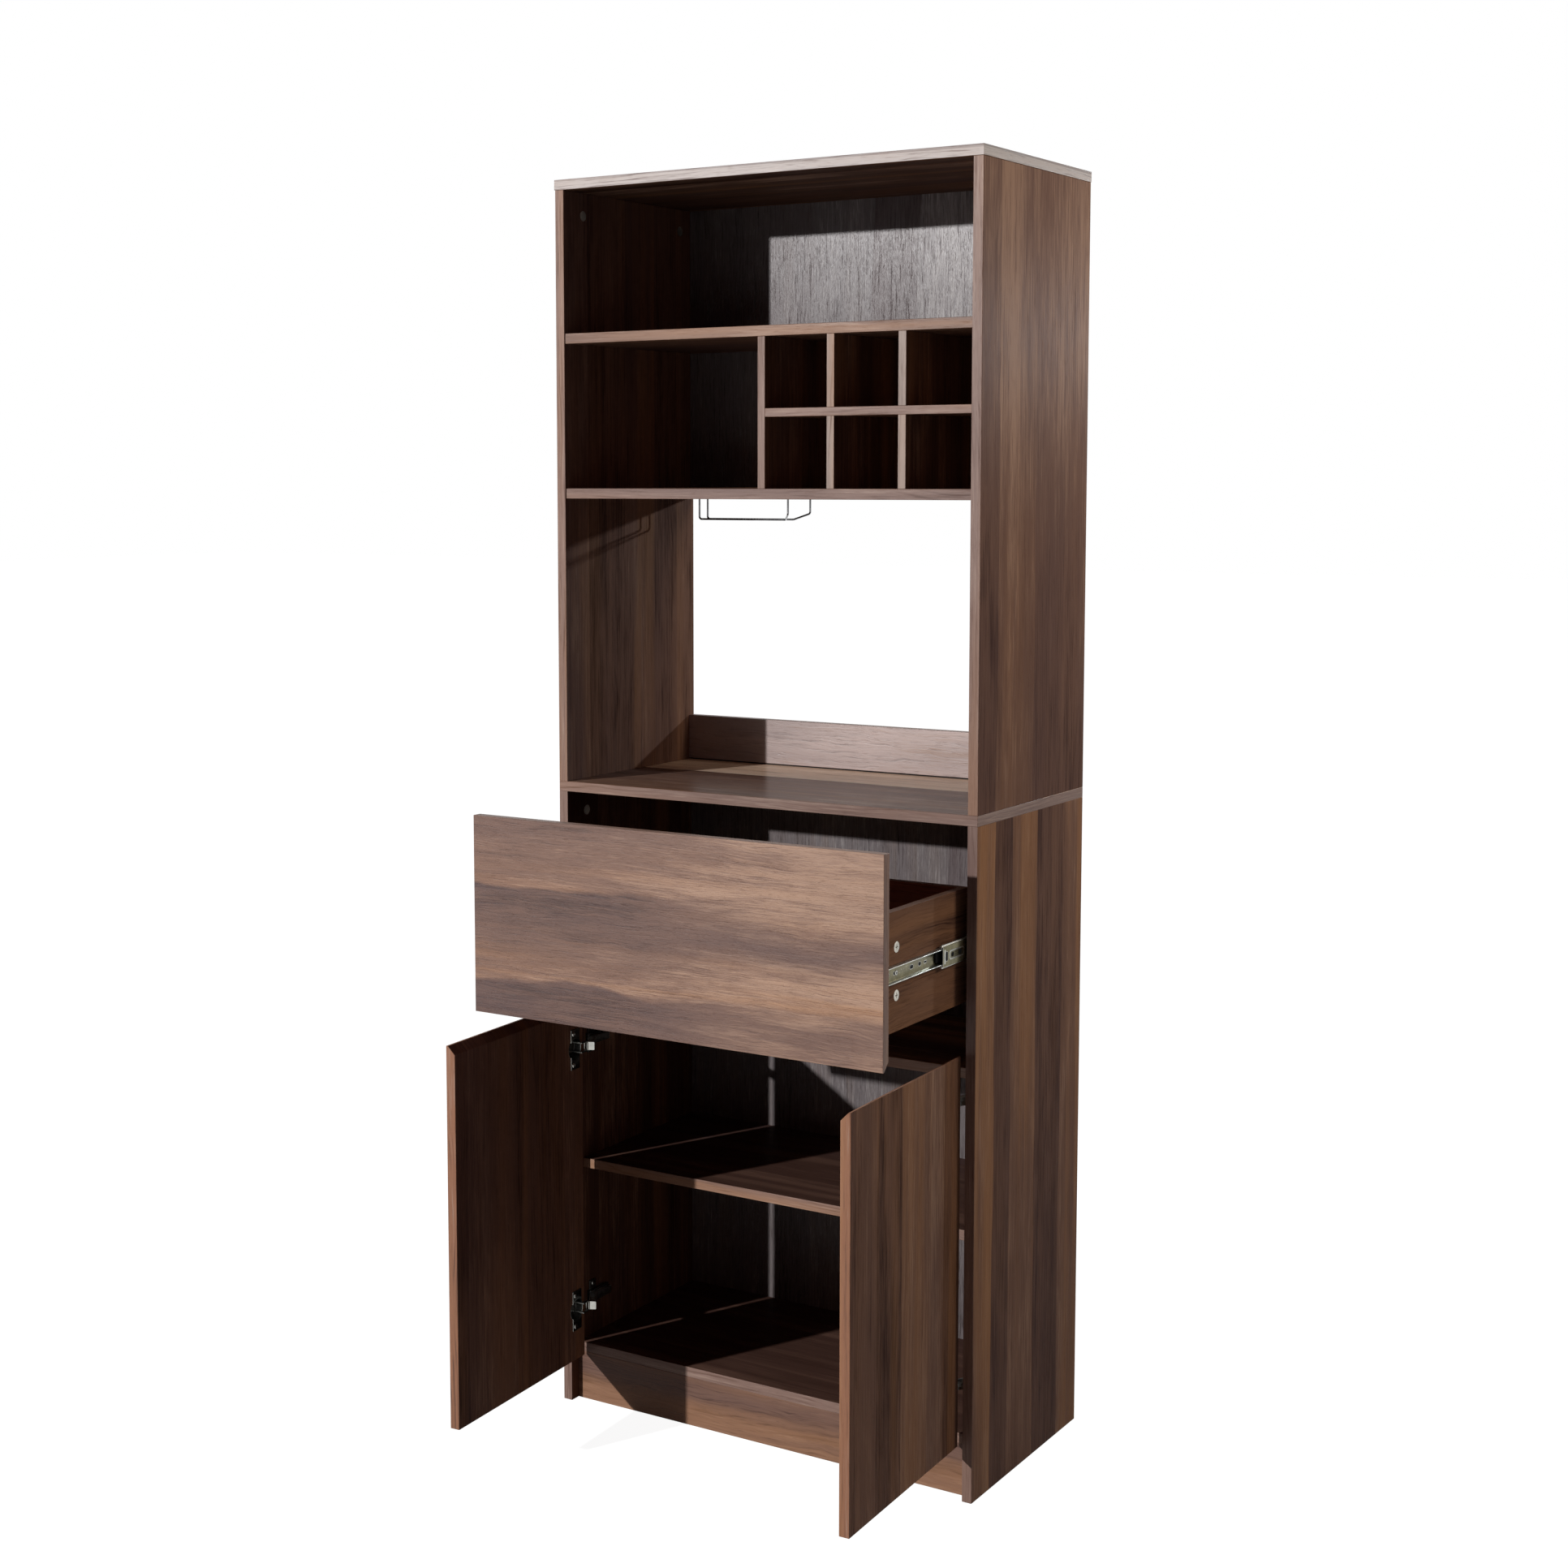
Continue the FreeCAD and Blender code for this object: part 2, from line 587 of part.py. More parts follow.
def drawer():
    front = board("drawer_front", (f"{INNER_WIDTH} - 2 * front_gap", "board", "front_height"),
                  (f"{INNER_LEFT} + front_gap", "-drawer_out", FRONT_BOTTOM))
    bevel(front, front.Tip, at_top=False)
    cam_heights = ["drawer_rise + drawer_height / 2 - drawer_cam_span / 2",
                   "drawer_rise + drawer_height / 2 + drawer_cam_span / 2"]
    box_left = "slide_space - front_gap + drawer_board / 2"
    box_right = f"{INNER_WIDTH} - slide_space - front_gap - drawer_board / 2"
    centres = [(x, z) for x in (box_left, box_right) for z in cam_heights]
    bores(front, "XZ_Plane", "-board", centres, BOLT_BORE, "bolt_grip", turned=True)
    floor_bottom = "drawer_rise + floor_rise - groove_play"
    floor_top = "drawer_rise + floor_rise + drawer_floor + groove_play"
    groove(front, "XZ_Plane", "-board",
           rectangle("slide_space - front_gap + drawer_board - groove_depth", floor_bottom,
                     f"{INNER_WIDTH} - slide_space - front_gap - drawer_board + groove_depth", floor_top),
           "groove_depth", turned=True)
    for hand in (LEFT, RIGHT):
        drawer_side(hand)
    inner_width = f"{INNER_WIDTH} - 2 * slide_space - 2 * drawer_board"
    back = board("drawer_back", (inner_width, "drawer_board", "drawer_height"),
                 (f"drawer_board - ({BOX_HALF})", f"{DRAWER_FRONT_BACK} + drawer_length - drawer_board",
                  BOX_BOTTOM))
    groove(back, "XZ_Plane", "0",
           rectangle("0", "floor_rise - groove_play", inner_width, "floor_rise + drawer_floor + groove_play"),
           "groove_depth")
    board("drawer_bottom",
          (f"{inner_width} + 2 * groove_depth", "drawer_length - drawer_board + 2 * groove_depth",
           "drawer_floor"),
          (f"drawer_board - groove_depth - ({BOX_HALF})", f"{DRAWER_FRONT_BACK} - groove_depth",
           f"{BOX_BOTTOM} + floor_rise"))


def drawer_side(hand):
    """Box side with a groove for the bottom, two cam bores and the slide screws' holes."""
    start = along(hand, f"-({BOX_HALF})", "drawer_board")
    body = board(f"drawer_side_{SIDE_NAMES[hand]}", ("drawer_board", "drawer_length", "drawer_height"),
                 (start, DRAWER_FRONT_BACK, BOX_BOTTOM))
    inner = "drawer_board" if hand == LEFT else "0"
    outer = "0" if hand == LEFT else "drawer_board"
    into_outer = hand == LEFT
    groove(body, "YZ_Plane", inner,
           rectangle("0", "floor_rise - groove_play", "drawer_length - drawer_board + groove_depth",
                     "floor_rise + drawer_floor + groove_play"),
           "groove_depth", turned=not into_outer)
    cams = [("drawer_cam_setback", f"drawer_height / 2 {sign} drawer_cam_span / 2") for sign in ("-", "+")]
    bores(body, "YZ_Plane", outer, cams, CAM_BORE, "drawer_cam_depth", turned=into_outer)
    bolts = [("drawer_board / 2", height) for _, height in cams]
    bores(body, "XZ_Plane", "0", bolts, BOLT_BORE, "drawer_cam_setback - cam_diameter / 2")
    screws = [(y, "slide_rise") for y in slide_screw_places("0")]
    bores(body, "YZ_Plane", outer, screws, SCREW_BORE, "drawer_board - 1", turned=into_outer)
    return body


def drawer_fittings():
    cams = []
    bolts = []
    cam_y = f"{DRAWER_FRONT_BACK} + drawer_cam_setback"
    for hand in (LEFT, RIGHT):
        for sign in ("-", "+"):
            height = f"{BOX_BOTTOM} + drawer_height / 2 {sign} drawer_cam_span / 2"
            start = spot(hand, f"-({BOX_HALF})")
            cams.append(rod("drawer_cam", "cam_diameter", "drawer_cam_depth", (start, cam_y, height),
                            inward(hand)))
            middle = spot(hand, f"drawer_board / 2 - ({BOX_HALF})")
            tip = f"{cam_y} - cam_diameter / 2"
            length = "drawer_cam_setback - cam_diameter / 2 + bolt_grip"
            bolts.append(rod("drawer_bolt", "bolt_diameter", length, (middle, tip, height), "-Y"))
    keep(group("drawer_cams", cams), "drawer_cams")
    keep(group("drawer_bolts", bolts), "drawer_bolts")


# Ball bearing slides

def channel(low, high, half_height):
    """Section of a channel that opens to the right: web at the left, lips above and below."""
    top = f"{half_height} - slide_metal"
    return [(low, f"-({half_height})"), (high, f"-({half_height})"), (high, f"-({top})"),
            (f"{low} + slide_metal", f"-({top})"), (f"{low} + slide_metal", top),
            (high, top), (high, half_height), (low, half_height)]


def drawer_channel(low, high, half_height):
    """The same channel with its web at the right."""
    top = f"{half_height} - slide_metal"
    return [(low, f"-({half_height})"), (high, f"-({half_height})"), (high, half_height),
            (low, half_height), (low, top), (f"{high} - slide_metal", top),
            (f"{high} - slide_metal", f"-({top})"), (low, f"-({top})")]


def middle_channel():
    """Middle member: a channel whose lips carry a ball strip on both faces."""
    low, high = "middle_start", "middle_reach"
    lip = "middle_height / 2"
    lip_inside = "middle_height / 2 - slide_metal"
    web = "middle_start + slide_metal"
    race_end = "race_start + race_width"
    outer_race = "outer_height / 2 - slide_metal - race_play"
    inner_race = "inner_height / 2 + race_play"
    upper = [(web, lip_inside), ("race_start", lip_inside), ("race_start", inner_race),
             (race_end, inner_race), (race_end, lip_inside), (high, lip_inside), (high, lip),
             (race_end, lip), (race_end, outer_race), ("race_start", outer_race),
             ("race_start", lip), (low, lip)]
    lower = [(x, f"-({z})") for x, z in reversed(upper)]
    return upper + lower


def slide_member(label, hand, section, front):
    """One channel of a slide, with X measured from the side panel and Z from its own middle."""
    body = doc.addObject("PartDesign::Body", label)
    sketch = new_sketch(body, "XZ_Plane", "0", hand)
    outline(sketch, section)
    pad(body, sketch, "slide_length", turned=hand == LEFT)
    return keep(body, label, (spot(hand, INNER_LEFT), front, SLIDE_HEIGHT))


def slide_holes(body, hand, web_face, inwards):
    """Screw holes through the web of a slide member, cut from the face that is screwed down."""
    centres = [(y, "0") for y in slide_screw_places("0")]
    bores(body, "YZ_Plane", spot(hand, web_face), centres, SCREW_BORE, "slide_metal",
          turned=(hand == LEFT) == inwards)


def slides():
    for hand in (LEFT, RIGHT):
        side = SIDE_NAMES[hand]
        outer = channel("0", "outer_reach", "outer_height / 2")
        fixed = slide_member(f"slide_cabinet_{side}", hand, outer, "board")
        slide_holes(fixed, hand, "0", inwards=True)
        slide_member(f"slide_middle_{side}", hand, middle_channel(), "board - middle_out")
        inner = drawer_channel("inner_start", "slide_space", "inner_height / 2")
        moving = slide_member(f"slide_drawer_{side}", hand, inner, DRAWER_FRONT_BACK)
        slide_holes(moving, hand, "slide_space", inwards=False)


# Doors and hinges

def keep_swung(item, label, hand, bottom):
    """Keeps a piece made for the closed door at the angle at which the door stands open."""
    angle = "-left_open_angle" if hand == LEFT else "right_open_angle"
    pivot_x = spot(hand, f"pivot_inset - ({DOOR_CORNER})")
    pivot_y = "-pivot_forward"
    to_corner_x = spot(hand, "-pivot_inset")
    to_corner_y = "pivot_forward"
    item.Placement = Placement(Vector(), Rotation(Vector(0, 0, 1), 0))
    bind(item, ".Placement.Rotation.Angle", angle)
    corner_x = f"{pivot_x} + {to_corner_x} * cos({angle}) - {to_corner_y} * sin({angle})"
    corner_y = f"{pivot_y} + {to_corner_x} * sin({angle}) + {to_corner_y} * cos({angle})"
    return keep(item, label, (corner_x, corner_y, bottom))


def door(hand):
    """Door panel with its grip bevel, cup bores and screw holes, hinge corner at its origin."""
    label = f"door_{SIDE_NAMES[hand]}"
    body = doc.addObject("PartDesign::Body", label)
    sketch = new_sketch(body, "XY_Plane", "0", hand)
    outline(sketch, rectangle("0", "0", "door_width", "board"))
    slab = pad(body, sketch, f"{DOOR_TOP} - door_bottom", turned=hand == RIGHT)
    bevel(body, slab, at_top=True)
    heights = [f"{height} - door_bottom" for height in HINGE_HEIGHTS.values()]
    # The normal of these sketches turns round with the hand, and the cutting direction with it.
    inner = "-board"
    into = hand == LEFT
    bores(body, "XZ_Plane", inner, [("cup_centre", z) for z in heights], "cup_bore", "cup_depth",
          turned=into, hand=hand)
    screws = [("flange_screw_inset", f"{z} {sign} flange_screw_span / 2")
              for z in heights for sign in ("-", "+")]
    bores(body, "XZ_Plane", inner, screws, SCREW_BORE, "screw_length", turned=into, hand=hand)
    return keep_swung(body, label, hand, "door_bottom")


def hinge_cup(hand, level):
    """Cup with its flange and the two links that reach the hinge arm when the door is open."""
    name = f"hinge_cup_{SIDE_NAMES[hand]}_{level}"
    middle = spot(hand, "cup_centre")
    diameter = "cup_bore - 2 * cup_play"
    shell = rod("cup_shell", diameter, "cup_depth", (middle, "board - cup_depth", "0"), "+Y")
    flange = block("cup_flange", ("flange_width", "flange_metal", "flange_length"),
                   (along(hand, "flange_start", "flange_width"), "board", "-flange_length / 2"))
    hollow = rod("cup_hollow", f"{diameter} - 2 * cup_wall", "cup_depth - cup_floor + 2 * flange_metal",
                 (middle, "board - cup_depth + cup_floor", "0"), "+Y")
    tools = [hollow]
    for sign in ("-", "+"):
        at = (spot(hand, "flange_screw_inset"), "board - flange_metal", f"{sign}flange_screw_span / 2")
        tools.append(rod("cup_screw_hole", SCREW_BORE, "3 * flange_metal", at, "+Y"))
    cup = cut("cup_body", joined("cup_blank", [shell, flange]), tools)
    inner_half = "arm_height / 2 + arm_play"
    links = []
    for low in (inner_half, f"-({inner_half}) - link_metal"):
        foot_height = "link_reach - board + cup_depth - cup_floor"
        links.append(block("link_foot", ("link_width", foot_height, "link_metal"),
                           (along(hand, "link_foot", "link_width"), "board - cup_depth + cup_floor", low)))
        bar_length = "link_foot + link_width - link_start"
        links.append(block("link_bar", (bar_length, "link_width", "link_metal"),
                           (along(hand, "link_start", bar_length), "link_reach - link_width", low)))
    return keep_swung(joined(name, [cup] + links), name, hand, HINGE_HEIGHTS[level])


def hinge_arm(hand, level):
    name = f"hinge_arm_{SIDE_NAMES[hand]}_{level}"
    body = doc.addObject("PartDesign::Body", name)
    sketch = new_sketch(body, "XY_Plane", "0", hand)
    outline(sketch, [
        ("rail_rise", "arm_root_back"), ("rail_rise", "arm_root_front"),
        ("arm_neck", "arm_neck_back"), ("arm_tip_inner", "arm_tip_back"),
        ("arm_tip_inner", "arm_tip_front"), ("arm_tip_outer", "arm_tip_front"),
        ("arm_tip_outer", "arm_neck_back"), ("arm_root_outer", "arm_shoulder"),
        ("arm_root_outer", "arm_root_back"),
    ])
    pad(body, sketch, "arm_height", middle=True)
    return keep(body, name, (spot(hand, INNER_LEFT), "0", HINGE_HEIGHTS[level]))


def hinge_plate(hand, level):
    """Mounting plate: a rail that carries the arm and a wing with two screws."""
    name = f"hinge_plate_{SIDE_NAMES[hand]}_{level}"
    rail = block("plate_rail", ("rail_rise", "rail_length", "rail_height"),
                 (along(hand, "0", "rail_rise"), "rail_front", "-rail_height / 2"))
    wing = block("plate_wing", ("wing_metal", "wing_depth", "wing_height"),
                 (along(hand, "0", "wing_metal"), "wing_front", "-wing_height / 2"))
    holes = []
    for sign in ("-", "+"):
        at = (spot(hand, "-wing_metal"), "wing_front + wing_depth / 2", f"{sign}wing_screw_span / 2")
        holes.append(rod("plate_hole", SCREW_BORE, "3 * wing_metal", at, inward(hand)))
    plate = cut(name, joined("plate_blank", [rail, wing]), holes)
    return keep(plate, name, (spot(hand, INNER_LEFT), "0", HINGE_HEIGHTS[level]))


def doors_and_hinges():
    for hand in (LEFT, RIGHT):
        door(hand)
        for level in HINGE_HEIGHTS:
            hinge_cup(hand, level)
            hinge_arm(hand, level)
            hinge_plate(hand, level)


# Screws

def screw(at, axis, thickness):
    """Screw whose head sits on a sheet of the given thickness and points along an axis."""
    step = {"X": 0, "Y": 1}[axis[1]]
    sign = axis[0]
    head_at = list(at)
    against = "-" if sign == "+" else "+"
    head_at[step] = f"{at[step]} {against} ({thickness}) {against} screw_head_height"
    shank_at = list(at)
    shank_at[step] = f"{at[step]} {against} ({thickness})"
    head = rod("screw_head", "screw_head", "screw_head_height", head_at, axis)
    shank = rod("screw_shank", "screw_shank", f"screw_length - screw_play + ({thickness})", shank_at, axis)
    return joined("screw", [head, shank])


def screws():
    carcass = []
    drawer_screws = []
    for hand in (LEFT, RIGHT):
        face = spot(hand, INNER_LEFT)
        for y, z in wing_screw_places():
            carcass.append(screw((face, y, z), outward(hand), "wing_metal"))
        for y in slide_screw_places("board"):
            carcass.append(screw((face, y, SLIDE_HEIGHT), outward(hand), "slide_metal"))
        box_face = spot(hand, f"-({BOX_HALF})")
        for y in slide_screw_places(DRAWER_FRONT_BACK):
            drawer_screws.append(screw((box_face, y, SLIDE_HEIGHT), inward(hand), "slide_metal"))
        cup_screws = []
        for height in HINGE_HEIGHTS.values():
            for sign in ("-", "+"):
                z = f"{height} {sign} flange_screw_span / 2 - door_bottom"
                at = (spot(hand, "flange_screw_inset"), "board", z)
                cup_screws.append(screw(at, "-Y", "flange_metal"))
        label = f"cup_screws_{SIDE_NAMES[hand]}"
        keep_swung(group(label, cup_screws), label, hand, "door_bottom")
    keep(group("carcass_screws", carcass), "carcass_screws")
    keep(group("drawer_screws", drawer_screws), "drawer_screws")


# Checks and files

def check():
    for item in doc.Objects:
        if "Invalid" in item.State or "Error" in item.State:
            raise RuntimeError(f"{item.Label} failed: {item.State}")
    for item in nodes:
        if item.Shape.isNull() or not item.Shape.isValid():
            raise RuntimeError(f"{item.Label} has no valid shape")


def write_parts():
    os.makedirs("parts", exist_ok=True)
    for item in nodes:
        item.Shape.exportStep(f"parts/{item.Label}.step")


def build():
    fill_sheet()
    hutch()
    bottle_rack()
    base_cabinet()
    carcass_fittings()
    rack_wire("stemware_wire_front", "-")
    rack_wire("stemware_wire_back", "+")
    drawer()
    drawer_fittings()
    slides()
    doors_and_hinges()
    screws()
    doc.recompute()
    check()
    write_parts()
    print(f"{len(nodes)} sub-parts written")


build()
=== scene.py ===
"""Finish of a tall wine cabinet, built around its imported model.

Printed walnut board with rounded edges and edge bands, cup hinges, ball bearing slides,
cam locks, screws and the stemware rack, and a plain studio to look at them in.
"""
import json
import math

import bmesh
import bpy
from bpy.props import FloatProperty, FloatVectorProperty, PointerProperty
from bpy.types import Operator, Panel, PropertyGroup
from mathutils import Matrix, Vector


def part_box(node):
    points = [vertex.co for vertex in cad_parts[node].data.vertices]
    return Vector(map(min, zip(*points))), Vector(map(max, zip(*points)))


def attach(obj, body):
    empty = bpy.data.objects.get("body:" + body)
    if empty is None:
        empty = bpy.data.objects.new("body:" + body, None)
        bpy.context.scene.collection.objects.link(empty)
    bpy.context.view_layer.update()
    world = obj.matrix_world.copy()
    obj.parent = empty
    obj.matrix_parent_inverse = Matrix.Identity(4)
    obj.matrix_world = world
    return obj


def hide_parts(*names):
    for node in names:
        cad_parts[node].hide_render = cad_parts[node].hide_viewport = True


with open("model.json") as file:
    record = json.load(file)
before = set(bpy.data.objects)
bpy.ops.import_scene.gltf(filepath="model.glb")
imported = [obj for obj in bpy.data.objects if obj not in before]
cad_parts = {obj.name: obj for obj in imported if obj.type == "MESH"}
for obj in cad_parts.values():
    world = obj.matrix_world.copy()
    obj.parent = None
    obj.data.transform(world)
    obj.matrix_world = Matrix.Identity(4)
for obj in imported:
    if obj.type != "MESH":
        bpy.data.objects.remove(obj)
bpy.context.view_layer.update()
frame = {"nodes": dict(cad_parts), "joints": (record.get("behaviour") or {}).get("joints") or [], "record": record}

bl_info = {
    "name": "Wine Cabinet Finish",
    "version": (1, 0, 0),
    "blender": (4, 5, 0),
    "location": "3D View > Sidebar > Cabinet",
    "description": "Gives the packed wine cabinet its board print, edge bands and fittings",
    "category": "Object",
}

MM = 0.001
SIDES = ("left", "right")
LEVELS = ("lower", "upper")
AXIS = {"X": 0, "Y": 1, "Z": 2}
BODY_OF = {node: body for body, nodes in frame["record"]["behaviour"]["bodies"].items() for node in nodes}
GRAIN_MAP = "grain"
SHARE_MAP = "board_share"
SAME_PLACE = 0.002 * MM
HEAD_JOINT = 0.001 * MM
FLAT_ANGLE = math.radians(0.5)
SENSOR_WIDTH = 36
WHITE = (1, 1, 1, 1)
FLOOR_GLOW = 0.93


def srgb(red, green, blue):
    """Linear colour for a colour given as 0 to 255 on a screen."""
    def linear(value):
        value = value / 255
        return value / 12.92 if value <= 0.04045 else ((value + 0.055) / 1.055) ** 2.4
    return (linear(red), linear(green), linear(blue), 1.0)


def colour_setting(name, description, default):
    return FloatVectorProperty(name=name, description=description, subtype="COLOR", size=4,
                               min=0, max=1, default=default)


def length_setting(name, description, default):
    return FloatProperty(name=name, description=description, default=default, min=0,
                         subtype="DISTANCE", unit="LENGTH", precision=5)


def place_setting(name, description, default):
    return FloatVectorProperty(name=name, description=description, subtype="TRANSLATION",
                               unit="LENGTH", size=3, default=default)


def angle_setting(name, description, default):
    return FloatProperty(name=name, description=description, subtype="ANGLE", default=default)


def pixel_setting(name, description, default):
    return FloatProperty(name=name, description=description, subtype="PIXEL", default=default)


def power_setting(name, description, default):
    return FloatProperty(name=name, description=description, unit="POWER", default=default)


class BoardSettings(PropertyGroup):
    """Colours and sizes of the printed board."""

    dark: colour_setting("Dark", "Darkest figure of the print", srgb(66, 45, 38))
    middle: colour_setting("Middle", "Ground of the print", srgb(126, 96, 82))
    light: colour_setting("Light", "Lightest figure of the print", srgb(176, 142, 120))
    smoke: colour_setting("Smoke", "Grey bands across the figure", srgb(86, 68, 68))
    streak: colour_setting("Streak", "Tan streaks", srgb(172, 126, 90))
    band_dark: colour_setting("Band dark", "Lines of the edge bands", srgb(92, 66, 56))
    band_middle: colour_setting("Band", "Ground of the edge bands", srgb(136, 111, 101))
    band_light: colour_setting("Band light", "Lightest lines of the edge bands", srgb(184, 160, 146))
    band_pale: colour_setting("Pale band", "Ground of the bottle rack's bands", srgb(158, 140, 130))
    band_warm: colour_setting("Warm band", "Ground of the doors' bands", srgb(152, 108, 84))
    # Lighter band of the top panel's front edge: a painted highlight of the key lamp
    band_top_painted_highlight: colour_setting("Top band", "Ground of the top panel's bands", srgb(206, 196, 191))
    # Darker band of the upper shelf's front edge: painted shade
    band_dim_painted_shade: colour_setting("Dim band", "Ground of the upper shelf's bands", srgb(116, 94, 86))
    back_dark: colour_setting("Back dark", "Grain of the back boards", srgb(46, 38, 37))
    # Ground of the back boards: print, greyed and cooled to paint part of the key lamp's sheen
    back_middle_and_sheen: colour_setting("Back", "Ground of the back boards", srgb(108, 101, 102))
    back_light: colour_setting("Back light", "Lightest grain of the back boards", srgb(168, 162, 160))
    back_streak: colour_setting("Back streak", "Brown streaks of the back boards", srgb(124, 108, 98))
    # Ground of the rail: its print, lightened and greyed to paint the key lamp's sheen
    rail_middle_and_sheen: colour_setting("Rail", "Ground of the rail behind the worktop", srgb(192, 170, 163))
    worktop_light: colour_setting("Worktop light", "Pale rear stave of the worktop", srgb(236, 208, 184))
    # Darker grounds of the boards inside the cabinet: painted shade of the inside
    inner_middle_painted_shade: colour_setting("Inner boards", "Ground of the shelves and dividers", srgb(96, 70, 58))
    shelf_middle_painted_shade: colour_setting("Inner shelves", "Ground of the shelf and floor inside", srgb(84, 60, 52))
    box_middle: colour_setting("Box", "Ground of the drawer box", srgb(132, 98, 78))
    # Lighter ground of the drawer's back and bottom: painted light on the box's inside
    box_painted_light: colour_setting("Box inside", "Ground of the box parts seen from inside", srgb(176, 124, 100))
    stave_width: length_setting("Stave width", "Width of one stave in the print", 62 * MM)
    edge_round: length_setting("Edge rounding", "Radius of the board edges", 0.6 * MM)


class FittingSettings(PropertyGroup):
    """Colours and sizes of the metal and plastic fittings."""

    zinc: colour_setting("Zinc", "Plated steel", srgb(186, 186, 180))
    # Yellowish plating, darkened to paint the shade and dark reflections inside the cabinet
    slide_zinc_painted_shade: colour_setting("Slide web", "Yellowish plating inside the slides", srgb(112, 107, 84))
    # Dark nickel: darkened to paint the hinges' dark reflection of the cabinet's inside
    nickel_painted_shade: colour_setting("Nickel", "Plated cups and plates of the hinges", srgb(84, 83, 80))
    cast: colour_setting("Cast", "Cast cam locks", srgb(186, 182, 172))
    wire: colour_setting("Wire", "Bright rack wire", srgb(150, 150, 152))
    plastic: colour_setting("Plastic", "Black plastic of the slides", srgb(22, 22, 23))
    press_round: length_setting("Pressed edges", "Radius of pressed metal edges", 0.35 * MM)


class StudioSettings(PropertyGroup):
    """Camera, lamps and floor."""

    camera_place: place_setting("Camera", "Place of the camera", (1.7281, -2.8613, 1.4261))
    camera_yaw: angle_setting("Yaw", "Turn from the back direction to the right", -0.5719035)
    camera_pitch: angle_setting("Pitch", "Tilt above the horizon", -0.0947769)
    camera_roll: angle_setting("Roll", "Turn about the line of sight", -0.0019985)
    focal_pixels: pixel_setting("Focal length", "Focal length in photograph pixels", 2876.8)
    centre_x: pixel_setting("Centre X", "Line of sight in photograph pixels", 862.1)
    centre_y: pixel_setting("Centre Y", "Line of sight in photograph pixels", 860.0)
    photo_side: pixel_setting("Photograph side", "Side of the square photograph", 1932.0)
    key_place: place_setting("Key lamp", "Hard lamp at the front left", (-3.5, -7.2455, 2.91))
    key_power: power_setting("Key power", "Power of the key lamp", 2600)
    key_radius: length_setting("Key size", "Radius of the key lamp", 0.07)
    side_place: place_setting("Side lamp", "Broad warm lamp to the right", (1.9, 0.55, 1.95))
    side_target: place_setting("Side target", "Place that the side lamp looks at", (0.35, 0.15, 1.2))
    side_power: power_setting("Side power", "Power of the side lamp", 12.8)
    side_width: length_setting("Side width", "Width of the side lamp", 0.5)
    side_colour: colour_setting("Side colour", "Light of the side lamp", (1.0, 0.87, 0.7, 1))
    rear_place: place_setting("Rear lamp", "Small lamp behind the right side", (1.07, 1.8645, 1.73))
    rear_power: power_setting("Rear power", "Power of the rear lamp", 56)
    rear_radius: length_setting("Rear size", "Radius of the rear lamp", 0.03)
    rear_colour: colour_setting("Rear colour", "Light of the rear lamp", (0.78, 0.9, 1.0, 1))
    ambient: colour_setting("Ambient", "Light from all round", (0.024, 0.009, 0.011, 1))
    floor_size: length_setting("Floor", "Side of the floor", 60.0)
    floor_grey: colour_setting("Floor grey", "Colour that the lamps light", (0.34, 0.34, 0.34, 1))
    glow_start: length_setting("Glow start", "Distance at which the floor begins to whiten", 1.2)
    glow_end: length_setting("Glow end", "Distance at which the floor is white", 4.5)


# Node helpers

def add_node(tree, kind, values=None, **settings):
    """New node with its settings made and its inputs set or linked."""
    node = tree.nodes.new(kind)
    for name, value in settings.items():
        setattr(node, name, value)
    for key, value in (values or {}).items():
        if isinstance(value, bpy.types.NodeSocket):
            tree.links.new(value, node.inputs[key])
        else:
            node.inputs[key].default_value = value
    return node


def maths(tree, operation, first, second=0.0, clamp=False):
    node = add_node(tree, "ShaderNodeMath", {0: first, 1: second}, operation=operation, use_clamp=clamp)
    return node.outputs[0]


def plus(tree, first, second, clamp=False):
    return maths(tree, "ADD", first, second, clamp)


def minus(tree, first, second):
    return maths(tree, "SUBTRACT", first, second)


def times(tree, first, second, clamp=False):
    return maths(tree, "MULTIPLY", first, second, clamp)


def swung(tree, value, width):
    """A value from 0 to 1 as a swing of the given width about zero."""
    return times(tree, minus(tree, value, 0.5), width)


def mixed(tree, factor, first, second):
    """Mix of two colours."""
    return add_node(tree, "ShaderNodeMix", {0: factor, 6: first, 7: second}, data_type="RGBA").outputs[2]


def ramped(tree, value, low, high, to_low=0.0, to_high=1.0):
    node = add_node(tree, "ShaderNodeMapRange", {0: value, 1: low, 2: high, 3: to_low, 4: to_high},
                    interpolation_type="SMOOTHSTEP")
    return node.outputs[0]


def stretched(tree, along, across, scale_along, scale_across, layer):
    """Place on the print, scaled for one noise. Each layer reads another slice of the noise."""
    return add_node(tree, "ShaderNodeCombineXYZ", {
        0: times(tree, along, scale_along), 1: times(tree, across, scale_across), 2: layer,
    }).outputs[0]


def noise(tree, place, detail=2.0, roughness=0.5, scale=1.0):
    return add_node(tree, "ShaderNodeTexNoise", {
        "Vector": place, "Scale": scale, "Detail": detail, "Roughness": roughness,
    }).outputs["Fac"]


def parted(tree, place):
    """First and second number of a vector."""
    split = add_node(tree, "ShaderNodeSeparateXYZ", {0: place})
    return split.outputs[0], split.outputs[1]


SOCKET_KINDS = {"vector": "NodeSocketVector", "value": "NodeSocketFloat", "colour": "NodeSocketColor"}


